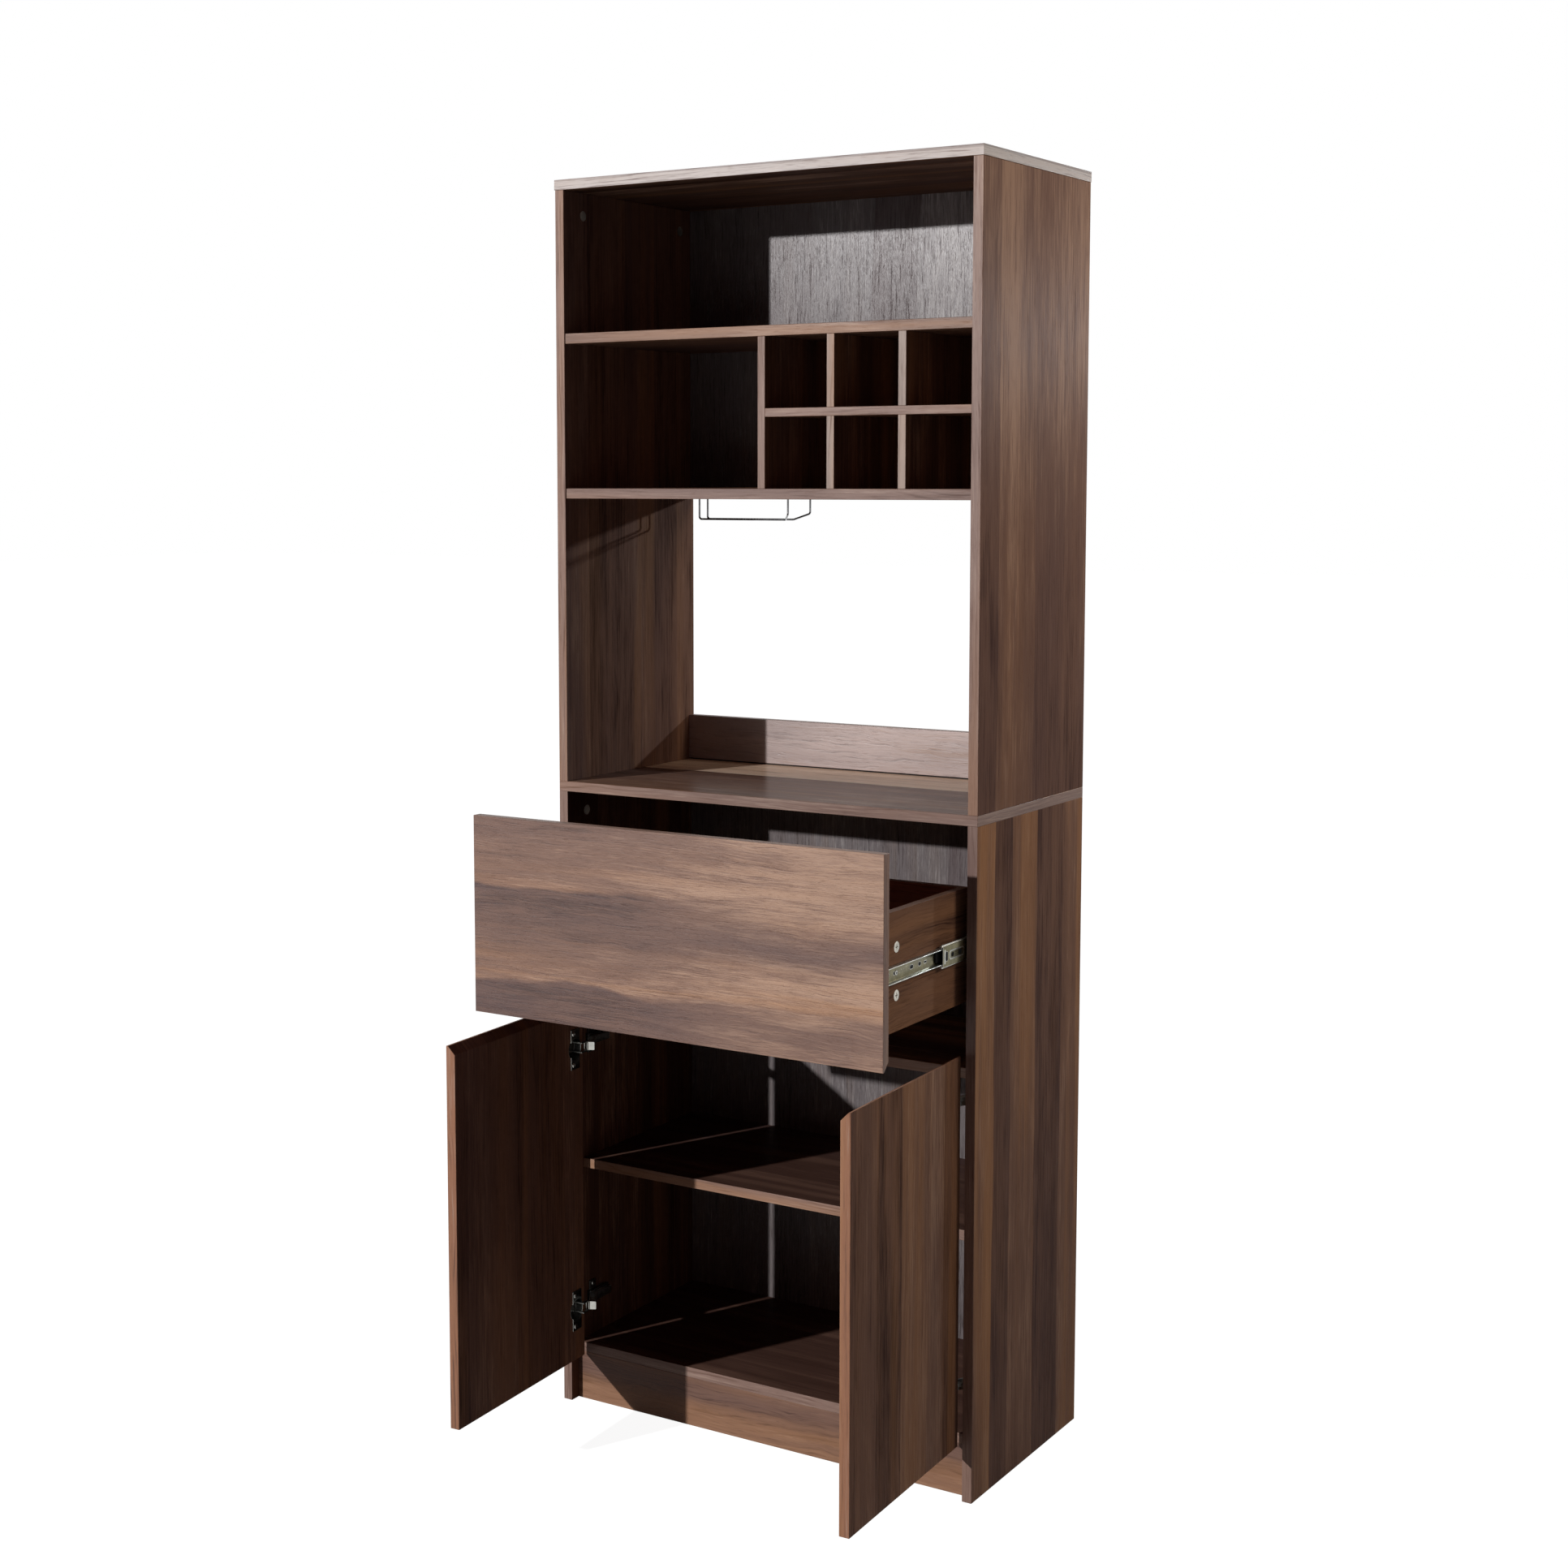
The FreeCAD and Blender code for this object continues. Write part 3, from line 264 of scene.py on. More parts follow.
def new_group(name, inputs, outputs):
    """Empty shader group with named sockets. Returns its tree, what goes in and its output node."""
    tree = bpy.data.node_groups.new(name, "ShaderNodeTree")
    for label, kind, default in inputs:
        socket = tree.interface.new_socket(name=label, in_out="INPUT", socket_type=SOCKET_KINDS[kind])
        socket.default_value = default
    for label, kind in outputs:
        tree.interface.new_socket(name=label, in_out="OUTPUT", socket_type=SOCKET_KINDS[kind])
    return tree, tree.nodes.new("NodeGroupInput").outputs, tree.nodes.new("NodeGroupOutput")


def give_out(tree, result, values):
    """Links what a group gives out."""
    for label, value in values.items():
        tree.links.new(value, result.inputs[label])


def place_group(tree, group, values):
    return add_node(tree, "ShaderNodeGroup", values, node_tree=group).outputs


# Shared effects

# Scale along and across the grain and slice of the noise
WANDER_NOISE = (0.9, 4.0, 3.1)
SMOKE_NOISE = (1.0, 9.0, 9.4)
STAVE_WANDER = 0.008
SMOKE_DRIFT = (0.44, 0.64)
MOST_WARMTH = 0.6


def random_staves_group():
    """Staves of random tone side by side. Place holds metres along and across the grain."""
    name = "random_staves"
    if name in bpy.data.node_groups:
        return bpy.data.node_groups[name]
    tree, put, result = new_group(name, [
        ("Place", "vector", (0, 0, 0)), ("Stave Width", "value", 0.04), ("Contrast", "value", 0.5),
    ], [("Tone", "value"), ("Warmth", "value"), ("Smoke", "value")])
    along, across = parted(tree, put["Place"])
    wander = swung(tree, noise(tree, stretched(tree, along, across, *WANDER_NOISE), 1.0), STAVE_WANDER)
    stave = add_node(tree, "ShaderNodeTexVoronoi", {
        "W": maths(tree, "DIVIDE", plus(tree, across, wander), put["Stave Width"]), "Scale": 1.0,
    }, voronoi_dimensions="1D", feature="F1")
    draw = add_node(tree, "ShaderNodeSeparateColor", {0: stave.outputs["Color"]}).outputs
    drift = ramped(tree, noise(tree, stretched(tree, along, across, *SMOKE_NOISE), 2.0), *SMOKE_DRIFT)
    give_out(tree, result, {
        "Tone": plus(tree, swung(tree, draw[0], put["Contrast"]), 0.5),
        "Warmth": times(tree, draw[1], MOST_WARMTH),
        "Smoke": times(tree, draw[2], drift),
    })
    return tree


# Bends of the grain: scale along and across it, slice of the noise, width in metres
GRAIN_BENDS = ((1.3, 5.0, 3.1, 0.05), (9.0, 22.0, 4.3, 0.016), (24.0, 70.0, 6.2, 0.005))
# Layers of the print: scale along and across the grain, slice of the noise, detail, roughness
PRINT_LAYERS = {
    "broad": (2.2, 20.0, 1.9, 3.0, 0.55),
    "blotch": (9.0, 42.0, 2.7, 2.0, 0.5),
    "fibre": (5.5, 230.0, 5.3, 4.0, 0.8),
    "fine": (22.0, 620.0, 8.2, 2.0, 0.6),
    "ring": (2.4, 14.0, 7.7, 2.0, 0.5),
    "ring_fade": (7.0, 60.0, 1.2, 2.0, 0.5),
    "pore": (50.0, 1300.0, 2.4, 1.0, 0.5),
    "streak": (1.1, 30.0, 6.6, 3.0, 0.5),
    "cloud": (3.0, 16.0, 9.4, 3.0, 0.5),
}
RINGS_PER_METRE = 150.0
RING_WANDER = 9.0
# Ramps of the print: lower and upper limit, and what they turn into where that isn't 0 and 1
RING_LINE = (0.0, 0.3, 1.0, 0.0)
RING_FADE = (0.36, 0.62)
HAIR = (0.42, 0.3)
PORE = (0.64, 0.74)
STREAK = (0.4, 0.68)
CLOUD = (0.3, 0.62, 0.55, 1.0)
# How far the layers move the tone, and how strongly the marks and the smoke cover it
BLOTCH_SWING = 0.7
FINE_SWING = 0.5
MIDDLE_TONE = 0.5
MARK_STRENGTH = 0.35
SMOKE_STRENGTH = 0.35
FINE_DULLING = 0.12
# Inks of the print and the settings that colour them, unless a finish names others
INK_SETTINGS = {"Dark": "dark", "Middle": "middle", "Light": "light", "Smoke Colour": "smoke",
                "Streak": "streak"}


def walnut_print_group():
    """Printed walnut: ground, growth lines, fibres and short pores in a given tone.

    Place holds metres along the grain in X and across it in Y.
    """
    name = "walnut_print"
    if name in bpy.data.node_groups:
        return bpy.data.node_groups[name]
    tree, put, result = new_group(name, [
        ("Place", "vector", (0, 0, 0)), ("Tone", "value", 0.5), ("Warmth", "value", 0.2),
        ("Smoke", "value", 0.2), ("Waviness", "value", 1.0), ("Figure", "value", 0.5),
        ("Fibre", "value", 0.5), ("Patches", "value", 0.7), ("Roughness", "value", 0.4),
        *((ink, "colour", (0, 0, 0, 1)) for ink in INK_SETTINGS),
    ], [("Colour", "colour"), ("Relief", "value"), ("Roughness", "value")])
    along, across = parted(tree, put["Place"])
    bent = across
    for *scales, width in GRAIN_BENDS:
        value = noise(tree, stretched(tree, along, across, *scales), 2.0)
        bent = plus(tree, bent, times(tree, swung(tree, value, width), put["Waviness"]))

    def layer(name):
        *scales, detail, roughness = PRINT_LAYERS[name]
        return noise(tree, stretched(tree, along, bent, *scales), detail, roughness)

    fibre = layer("fibre")
    fine = layer("fine")
    field = plus(tree, times(tree, bent, RINGS_PER_METRE), times(tree, layer("ring"), RING_WANDER))
    ring = maths(tree, "ABSOLUTE", minus(tree, maths(tree, "FRACT", field), 0.5))
    line = times(tree, ramped(tree, ring, *RING_LINE), ramped(tree, layer("ring_fade"), *RING_FADE))
    hair = ramped(tree, fibre, *HAIR)
    pore = ramped(tree, layer("pore"), *PORE)

    patches = plus(tree, minus(tree, layer("broad"), 0.5), swung(tree, layer("blotch"), BLOTCH_SWING))
    tone = plus(tree, put["Tone"], times(tree, patches, put["Patches"]))
    tone = minus(tree, tone, times(tree, line, put["Figure"]))
    tone = plus(tree, tone, swung(tree, fibre, put["Fibre"]))
    tone = plus(tree, tone, swung(tree, fine, FINE_SWING))

    ground = mixed(tree, ramped(tree, tone, 0.0, MIDDLE_TONE), put["Dark"], put["Middle"])
    colour = mixed(tree, ramped(tree, tone, MIDDLE_TONE, 1.0), ground, put["Light"])
    streak = times(tree, ramped(tree, layer("streak"), *STREAK), put["Warmth"])
    colour = mixed(tree, streak, colour, put["Streak"])
    smoke = times(tree, ramped(tree, layer("cloud"), *CLOUD), put["Smoke"], True)
    colour = mixed(tree, smoke, colour, mixed(tree, SMOKE_STRENGTH, put["Smoke Colour"], colour))
    for mark in (hair, pore):
        colour = mixed(tree, times(tree, mark, MARK_STRENGTH), colour, put["Dark"])

    relief = minus(tree, times(tree, fibre, 0.8), times(tree, hair, 0.3))
    relief = minus(tree, relief, times(tree, pore, 0.4))
    give_out(tree, result, {
        "Colour": colour,
        "Relief": plus(tree, relief, times(tree, fine, 0.3)),
        "Roughness": plus(tree, put["Roughness"], swung(tree, fine, FINE_DULLING)),
    })
    return tree


STAINS_PER_METRE = 70.0
SCRATCHES_PER_METRE = 2200.0
SCRATCH_STRETCH = (1.0, 0.06, 1.0)
SCRATCH = (0.6, 0.72)
STAIN_SHADE = (0.3, 0.75, 0.72, 1.08)
GRAIN_DULLING = 0.16
SCRATCH_DULLING = 0.12


def handled_metal_group():
    """Plated or cast metal: soft mottling, fine scratches and a varying gloss."""
    name = "handled_metal"
    if name in bpy.data.node_groups:
        return bpy.data.node_groups[name]
    tree, put, result = new_group(name, [
        ("Place", "vector", (0, 0, 0)), ("Colour", "colour", (0.6, 0.6, 0.6, 1)),
        ("Roughness", "value", 0.3), ("Grain Size", "value", 0.002),
    ], [("Colour", "colour"), ("Roughness", "value"), ("Relief", "value")])
    grains = noise(tree, put["Place"], 3.0, scale=maths(tree, "DIVIDE", 1.0, put["Grain Size"]))
    stains = noise(tree, put["Place"], 2.0, scale=STAINS_PER_METRE)
    long_place = add_node(tree, "ShaderNodeMapping", {"Vector": put["Place"], "Scale": SCRATCH_STRETCH})
    lines = noise(tree, long_place.outputs[0], 2.0, scale=SCRATCHES_PER_METRE)
    scratch = ramped(tree, lines, *SCRATCH)
    shade = ramped(tree, stains, *STAIN_SHADE)
    toned = add_node(tree, "ShaderNodeVectorMath", {0: put["Colour"], "Scale": shade}, operation="SCALE")
    roughness = plus(tree, put["Roughness"], times(tree, grains, GRAIN_DULLING))
    give_out(tree, result, {
        "Colour": toned.outputs[0],
        "Roughness": plus(tree, roughness, times(tree, scratch, SCRATCH_DULLING), True),
        "Relief": minus(tree, times(tree, grains, 0.5), scratch),
    })
    return tree


# Materials

def new_material(name):
    """Material with a Principled shader. Returns the material, its tree and the shader."""
    material = bpy.data.materials.new(name)
    material.use_nodes = True
    tree = material.node_tree
    return material, tree, tree.nodes["Principled BSDF"]


def bump(tree, shader, height, strength, distance):
    node = add_node(tree, "ShaderNodeBump", {"Height": height, "Strength": strength, "Distance": distance})
    tree.links.new(node.outputs[0], shader.inputs["Normal"])


def stave_ramp(tree, share, stops, sharp):
    """Tone, warmth and smoke from (share across, tone, warmth, smoke) stops."""
    node = add_node(tree, "ShaderNodeValToRGB", {0: share})
    ramp = node.color_ramp
    ramp.interpolation = "CONSTANT" if sharp else "LINEAR"
    while len(ramp.elements) < len(stops):
        ramp.elements.new(1.0)
    for element, (place, tone, warmth, smoke) in zip(ramp.elements, stops):
        element.position = place
        element.color = (tone, warmth, smoke, 1)
    return node.outputs["Color"]


WOBBLES_PER_METRE = 4.0
WOBBLE_LIMITS = (0.2, 0.8)
WIDEST_SHARP_WOBBLE = 0.05
# Share of the length over which the near staves turn into those of the far end. The far-end staves paint sheen: at
# the top of the right hutch side, and in part at the drawer front's right end
FAR_END = (0.3, 0.75)


def laid_staves(tree, place, stops, end_stops, wobble_width):
    """Staves laid across a board as listed, with other ones at its far end where end_stops says so.

    A narrow wobble keeps the joints between staves sharp.
    """
    map_node = add_node(tree, "ShaderNodeUVMap", uv_map=SHARE_MAP)
    share_along, share_across = parted(tree, map_node.outputs[0])
    wobble = noise(tree, place, 3.0, scale=WOBBLES_PER_METRE)
    shift = ramped(tree, wobble, *WOBBLE_LIMITS, -wobble_width / 2, wobble_width / 2)
    share = plus(tree, share_across, shift)
    sharp = wobble_width < WIDEST_SHARP_WOBBLE
    tones = stave_ramp(tree, share, stops, sharp)
    if end_stops:
        far = ramped(tree, share_along, *FAR_END)
        tones = mixed(tree, far, tones, stave_ramp(tree, share, end_stops, sharp))
    return add_node(tree, "ShaderNodeSeparateColor", {0: tones}).outputs


PRINT_RELIEF = 0.5 * MM


def printed_board(name, values, inks=(), specular=0.004, relief=0.35, contrast=0.4, stops=None,
                  end_stops=None, stave_width=None, density=None, wobble_width=0.02):
    """Walnut print on board. It reads the two maps that each board carries."""
    look = bpy.context.scene.cabinet_board
    material, tree, shader = new_material(name)
    place = add_node(tree, "ShaderNodeUVMap", uv_map=GRAIN_MAP).outputs[0]
    if stops:
        tones = laid_staves(tree, place, stops, end_stops, wobble_width)
    else:
        tones = place_group(tree, random_staves_group(), {
            "Place": place, "Stave Width": stave_width or look.stave_width, "Contrast": contrast,
        })
    if density:
        denser = add_node(tree, "ShaderNodeVectorMath", {0: place, 1: (*density, 1)}, operation="MULTIPLY")
        place = denser.outputs[0]
    colours = {ink: getattr(look, setting) for ink, setting in {**INK_SETTINGS, **dict(inks)}.items()}
    board_print = place_group(tree, walnut_print_group(), {
        "Place": place, "Tone": tones[0], "Warmth": tones[1], "Smoke": tones[2], **colours, **values,
    })
    tree.links.new(board_print["Colour"], shader.inputs["Base Color"])
    tree.links.new(board_print["Roughness"], shader.inputs["Roughness"])
    shader.inputs["Specular IOR Level"].default_value = specular
    bump(tree, shader, board_print["Relief"], relief, PRINT_RELIEF)
    return material


STRAIGHT = {"Waviness": 0.3, "Figure": 0.12, "Fibre": 0.8}
SWIRLED = {"Waviness": 1.0, "Figure": 0.15, "Fibre": 0.85}
BOX_PRINT = {"Waviness": 0.7, "Figure": 0.12, "Fibre": 0.4}
BACK_PRINT = {
    "values": {"Waviness": 0.15, "Figure": 0.1, "Fibre": 1.1, "Patches": 0.3, "Roughness": 0.24},
    "inks": {"Dark": "back_dark", "Middle": "back_middle_and_sheen", "Light": "back_light",
             "Streak": "back_streak"},
    "specular": 0.11, "relief": 0.55, "contrast": 0.15, "density": (2.6, 1.4),
}
# Staves listed one by one: share across the board, then tone, warmth and smoke
HUTCH_SIDE = ((0.0, 0.40, 0.0, 0.7), (0.16, 0.56, 0.2, 0.3), (0.34, 0.50, 0.2, 0.5),
              (0.50, 0.42, 0.0, 0.8), (0.78, 0.46, 0.1, 0.6))
# Lighter, greyer staves at the top of the right hutch side: painted sheen of the rear lamp
HUTCH_SIDE_SHEEN_END = ((0.0, 0.70, 0.0, 0.6), (0.16, 0.84, 0.0, 0.4), (0.34, 0.78, 0.0, 0.5),
                  (0.50, 0.72, 0.0, 0.6), (0.78, 0.78, 0.0, 0.5))
BASE_SIDE = ((0.0, 0.62, 0.7, 0.0), (0.16, 0.32, 0.1, 0.6), (0.31, 0.56, 0.5, 0.1),
             (0.55, 0.32, 0.1, 0.6), (0.80, 0.52, 0.6, 0.1))
WORKTOP = ((0.0, 0.50, 0.3, 0.2), (0.25, 0.42, 0.2, 0.5), (0.60, 0.98, 0.3, 0.0))
HUTCH_BACK = ((0.0, 0.46, 0.2, 0.3), (0.22, 0.50, 0.1, 0.5), (0.34, 0.56, 0.1, 0.2),
              (0.50, 0.40, 0.0, 0.8), (0.61, 0.68, 0.0, 0.3), (0.80, 0.62, 0.0, 0.2),
              (0.94, 0.44, 0.0, 0.8))
DRAWER_START = ((0.0, 0.26, 0.0, 1.0), (0.18, 0.28, 0.0, 1.0), (0.20, 0.66, 0.5, 0.0),
                (0.30, 0.56, 0.3, 0.1), (0.50, 0.38, 0.1, 0.7), (0.67, 0.20, 0.0, 1.0),
                (0.69, 0.60, 0.2, 0.0), (0.82, 0.55, 0.1, 0.2), (1.0, 0.42, 0.1, 0.5))
# Staves at the drawer front's right end: its print, made lighter partly to paint the key lamp's sheen
DRAWER_END_AND_SHEEN = ((0.0, 0.76, 0.0, 0.3), (0.14, 0.60, 0.0, 0.7), (0.26, 0.84, 0.5, 0.0),
              (0.38, 0.82, 0.2, 0.0), (0.50, 0.54, 0.0, 0.9), (0.64, 0.82, 0.1, 0.1),
              (0.85, 0.84, 0.1, 0.1), (1.0, 0.78, 0.1, 0.2))
BOARD_FINISHES = {
    "walnut_face": {"values": STRAIGHT},
    # walnut_inner and walnut_inner_shelf are darker copies of the print, painted shade of the cabinet's inside
    "walnut_inner": {"values": STRAIGHT, "inks": {"Middle": "inner_middle_painted_shade"}, "contrast": 0.3},
    "walnut_inner_shelf": {
        "values": STRAIGHT, "inks": {"Middle": "shelf_middle_painted_shade", "Light": "middle", "Streak": "middle"},
        "contrast": 0.2,
    },
    "walnut_hutch_side": {"values": STRAIGHT, "stops": HUTCH_SIDE, "end_stops": HUTCH_SIDE_SHEEN_END},
    "walnut_base_side": {"values": STRAIGHT, "stops": BASE_SIDE},
    "walnut_worktop": {
        "values": {**STRAIGHT, "Roughness": 0.25}, "inks": {"Light": "worktop_light"},
        "specular": 0.01, "relief": 0.1, "stops": WORKTOP,
    },
    # The rail's ground carries a painted sheen of the key lamp on top of its print
    "walnut_rail": {
        "values": SWIRLED, "inks": {"Middle": "rail_middle_and_sheen"}, "specular": 0.6, "relief": 0.5,
        "contrast": 0.2,
    },
    "walnut_kick": {"values": SWIRLED, "specular": 0.12, "contrast": 0.2},
    "walnut_back": BACK_PRINT,
    "walnut_hutch_back": {**BACK_PRINT, "stops": HUTCH_BACK},
    "walnut_drawer_front": {
        "values": SWIRLED, "specular": 0.25, "relief": 0.6, "stops": DRAWER_START,
        "end_stops": DRAWER_END_AND_SHEEN, "density": (1.6, 2.2), "wobble_width": 0.1,
    },
    "drawer_box_print": {
        "values": BOX_PRINT, "inks": {"Middle": "box_middle"}, "contrast": 0.15, "stave_width": 0.12,
    },
    # Lighter copy of the box print: painted light on the drawer's inside
    "drawer_inside_painted_light": {
        "values": BOX_PRINT, "inks": {"Middle": "box_painted_light"}, "contrast": 0.15, "stave_width": 0.12,
    },
}
for band, band_ground in (("plain", "band_middle"), ("pale", "band_pale"), ("warm", "band_warm"),
                          ("top", "band_top_painted_highlight"), ("dim", "band_dim_painted_shade")):
    BOARD_FINISHES[f"{band}_edge_band"] = {
        "values": {"Waviness": 0.3, "Figure": 0.25, "Fibre": 1.0},
        "inks": {"Dark": "band_dark", "Middle": band_ground, "Light": "band_light"},
        "specular": 0.12, "contrast": 0.1, "stave_width": 0.5,
    }


def board_material(name):
    """The named print, made when it is first asked for."""
    return bpy.data.materials.get(name) or printed_board(name, **BOARD_FINISHES[name])


CELL_DIVIDERS = tuple(f"cell_divider_{level}_{side}" for level in LEVELS for side in SIDES)
INNER_BOARDS = ("top_panel", "upper_shelf", "rack_shelf", "drawer_divider", "lower_side_left",
                "cell_shelf", *CELL_DIVIDERS)
# Finish of each board that isn't plain walnut, and the band of each one whose band isn't plain
FINISH_OF = {
    **dict.fromkeys(INNER_BOARDS, "walnut_inner"),
    "bottom_panel": "walnut_inner_shelf",
    "middle_shelf": "walnut_inner_shelf",
    "upper_side_right": "walnut_hutch_side",
    "lower_side_right": "walnut_base_side",
    "worktop": "walnut_worktop",
    "backsplash": "walnut_rail",
    "kick_plate": "walnut_kick",
    "lower_back": "walnut_back",
    "hutch_back": "walnut_hutch_back",
    "drawer_front": "walnut_drawer_front",
    "drawer_side_left": "drawer_box_print",
    "drawer_side_right": "drawer_box_print",
    "drawer_back": "drawer_inside_painted_light",
    "drawer_bottom": "drawer_inside_painted_light",
}
# The dim band is painted shade on the upper shelf's front edge
# The top band is a painted highlight on the top panel's front edge
BAND_OF = {**dict.fromkeys(CELL_DIVIDERS, "pale"), "top_panel": "top", "upper_shelf": "dim",
           "door_left": "warm", "door_right": "warm"}

# Material, roughness, grain size, how metallic it is and its specular level, by colour setting
FITTING_FINISHES = {
    "zinc": ("zinc_plate", 0.22, 1.2 * MM, 1.0, 0.5),
    "slide_zinc_painted_shade": ("slide_zinc_painted_shade", 0.2, 1.0 * MM, 1.0, 0.5),
    "nickel_painted_shade": ("hinge_plating_painted_shade", 0.24, 1.0 * MM, 1.0, 0.5),
    "cast": ("cast_zinc", 0.38, 0.5 * MM, 1.0, 0.5),
    "wire": ("bright_wire", 0.1, 3 * MM, 1.0, 0.5),
    "plastic": ("black_plastic", 0.35, 0.4 * MM, 0.0, 0.04),
}
PLATING_RELIEF = 0.05 * MM
PLATING_STRENGTH = 0.2


def fitting_material(colour):
    """Metal or plastic in the colour of one of the fittings' settings."""
    name, roughness, grain_size, metallic, specular = FITTING_FINISHES[colour]
    if name in bpy.data.materials:
        return bpy.data.materials[name]
    material, tree, shader = new_material(name)
    surface = place_group(tree, handled_metal_group(), {
        "Place": add_node(tree, "ShaderNodeTexCoord").outputs["Object"], "Roughness": roughness,
        "Colour": getattr(bpy.context.scene.cabinet_fittings, colour), "Grain Size": grain_size,
    })
    tree.links.new(surface["Colour"], shader.inputs["Base Color"])
    tree.links.new(surface["Roughness"], shader.inputs["Roughness"])
    shader.inputs["Metallic"].default_value = metallic
    shader.inputs["Specular IOR Level"].default_value = specular
    bump(tree, shader, surface["Relief"], PLATING_STRENGTH, PLATING_RELIEF)
    return material


# Mesh helpers

def node_mesh(node, pose=None):
    """Mesh of a node with its faces joined up, turned back to where the pose matrix starts."""
    mesh = bmesh.new()
    mesh.from_mesh(frame["nodes"][node].data)
    if pose:
        bmesh.ops.transform(mesh, matrix=pose.inverted(), verts=mesh.verts)
    bmesh.ops.remove_doubles(mesh, verts=mesh.verts, dist=SAME_PLACE)
    bmesh.ops.dissolve_limit(mesh, angle_limit=FLAT_ANGLE, verts=mesh.verts, edges=mesh.edges)
    return mesh


def sharp_edges(mesh, angle, shortest=0.0):
    """Edges that turn by more than an angle in degrees and are longer than the shortest length."""
    return [e for e in mesh.edges
            if e.is_manifold and e.calc_face_angle() > math.radians(angle) and e.calc_length() > shortest]


def round_edges(mesh, edges, radius, segments=2):
    """Rounds the edges and marks the new faces smooth."""
    made = bmesh.ops.bevel(mesh, geom=edges, offset=radius, segments=segments, profile=0.5,
                           affect="EDGES", clamp_overlap=False)
    for face in made["faces"]:
        face.smooth = True


def new_piece(name, mesh, materials, body, pose=None):
    """Turns a mesh into a piece that rides on a body and takes its finish from a slot."""
    if pose:
        bmesh.ops.transform(mesh, matrix=pose, verts=mesh.verts)
    bmesh.ops.recalc_face_normals(mesh, faces=mesh.faces)
    data = bpy.data.meshes.new(name)
    mesh.to_mesh(data)
    mesh.free()
    piece = bpy.data.objects.new(name, data)
    for material in materials:
        data.materials.append(material)
    bpy.context.scene.collection.objects.link(piece)
    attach(piece, body)
    return piece


def stand_in(node, ending, mesh, materials, pose=None, crease=None):
    """Piece that stands for a node. Edges that turn by more than crease degrees stay sharp."""
    piece = new_piece(f"{node}_{ending}", mesh, materials, BODY_OF[node], pose)
    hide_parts(node)
    if crease:
        piece.data.set_sharp_from_angle(angle=math.radians(crease))


def pairs_round(ring):
    """Neighbours in a closed ring."""
    return zip(ring, ring[1:] + ring[:1])


def lathe(mesh, profile, matrix, steps=32):
    """Surface of revolution about the matrix's Z axis, from (radius, height) pairs."""
    rings = []
    for radius, height in profile:
        ring = []
        for i in range(steps if radius else 1):
            turn = 2 * math.pi * i / steps
            place = Vector((radius * math.cos(turn), radius * math.sin(turn), height))
            ring.append(mesh.verts.new(matrix @ place))
        rings.append(ring)
    for low, high in zip(rings, rings[1:]):
        for i in range(steps):
            j = (i + 1) % steps
            corners = [low[i % len(low)], low[j % len(low)], high[j % len(high)], high[i % len(high)]]
            unique = list(dict.fromkeys(corners))
            if len(unique) > 2:
                mesh.faces.new(unique).smooth = True


def plate(mesh, outline, low, high, matrix, material=0):
    """Flat plate: an outline of (x, y) pairs between two heights of the matrix's Z axis."""
    bottom = [mesh.verts.new(matrix @ Vector((x, y, low))) for x, y in outline]
    top = [mesh.verts.new(matrix @ Vector((x, y, high))) for x, y in outline]
    faces = [bottom[::-1], top]
    for (a, b), (c, d) in zip(pairs_round(bottom), pairs_round(top)):
        faces.append([a, b, d, c])
    for corners in faces:
        mesh.faces.new(corners).material_index = material


def rounded_rectangle(width, height, radius, steps=5):
    """Outline of a rectangle about the origin with round corners."""
    outline = []
    for corner, (sx, sy) in enumerate(((1, 1), (-1, 1), (-1, -1), (1, -1))):
        cx, cy = sx * (width / 2 - radius), sy * (height / 2 - radius)
        for step in range(steps + 1):
            turn = math.pi / 2 * (corner + step / steps)
            outline.append((cx + radius * math.cos(turn), cy + radius * math.sin(turn)))
    return outline


def cross_outline(reach, arm):
    """Twelve corners of a cross recess: reach from the middle, arm across."""
    half = arm / 2
    quarter = [(reach, -half), (reach, half), (half, half)]
    outline = []
    for turn in range(4):
        c, s = round(math.cos(turn * math.pi / 2)), round(math.sin(turn * math.pi / 2))
        outline += [(c * x - s * y, s * x + c * y) for x, y in quarter]
    return outline


# Side of a low dome, from foot to rim: share of its radius, share of its height
DOME = ((1.0, 0.0), (1.0, 0.45), (0.95, 0.75), (0.82, 1.0))
RECESS_TAPER = 0.8


def cross_head(mesh, matrix, radius, height, cross, steps=32):
    """Low domed head on the matrix's XY plane. The cross is its recess: reach, arm and depth."""
    lathe(mesh, [(radius * across, height * up) for across, up in DOME], matrix, steps)
    mesh.verts.ensure_lookup_table()
    rim = mesh.verts[-steps:]
    reach, arm, depth = cross
    outline = cross_outline(reach, arm)
    mouth = [mesh.verts.new(matrix @ Vector((x, y, height))) for x, y in outline]
    floor = [mesh.verts.new(matrix @ Vector((RECESS_TAPER * x, RECESS_TAPER * y, height - depth)))
             for x, y in outline]
    edges = [mesh.edges.get(pair) or mesh.edges.new(pair)
             for ring in (rim, mouth) for pair in pairs_round(ring)]
    bmesh.ops.bridge_loops(mesh, edges=edges)
    for (a, b), (c, d) in zip(pairs_round(mouth), pairs_round(floor)):
        mesh.faces.new([a, b, d, c])
    mesh.faces.new(floor)


def facing(place, direction):
    """Matrix at a place whose Z axis points along a direction."""
    return Matrix.Translation(place) @ Vector(direction).to_track_quat("Z", "Y").to_matrix().to_4x4()


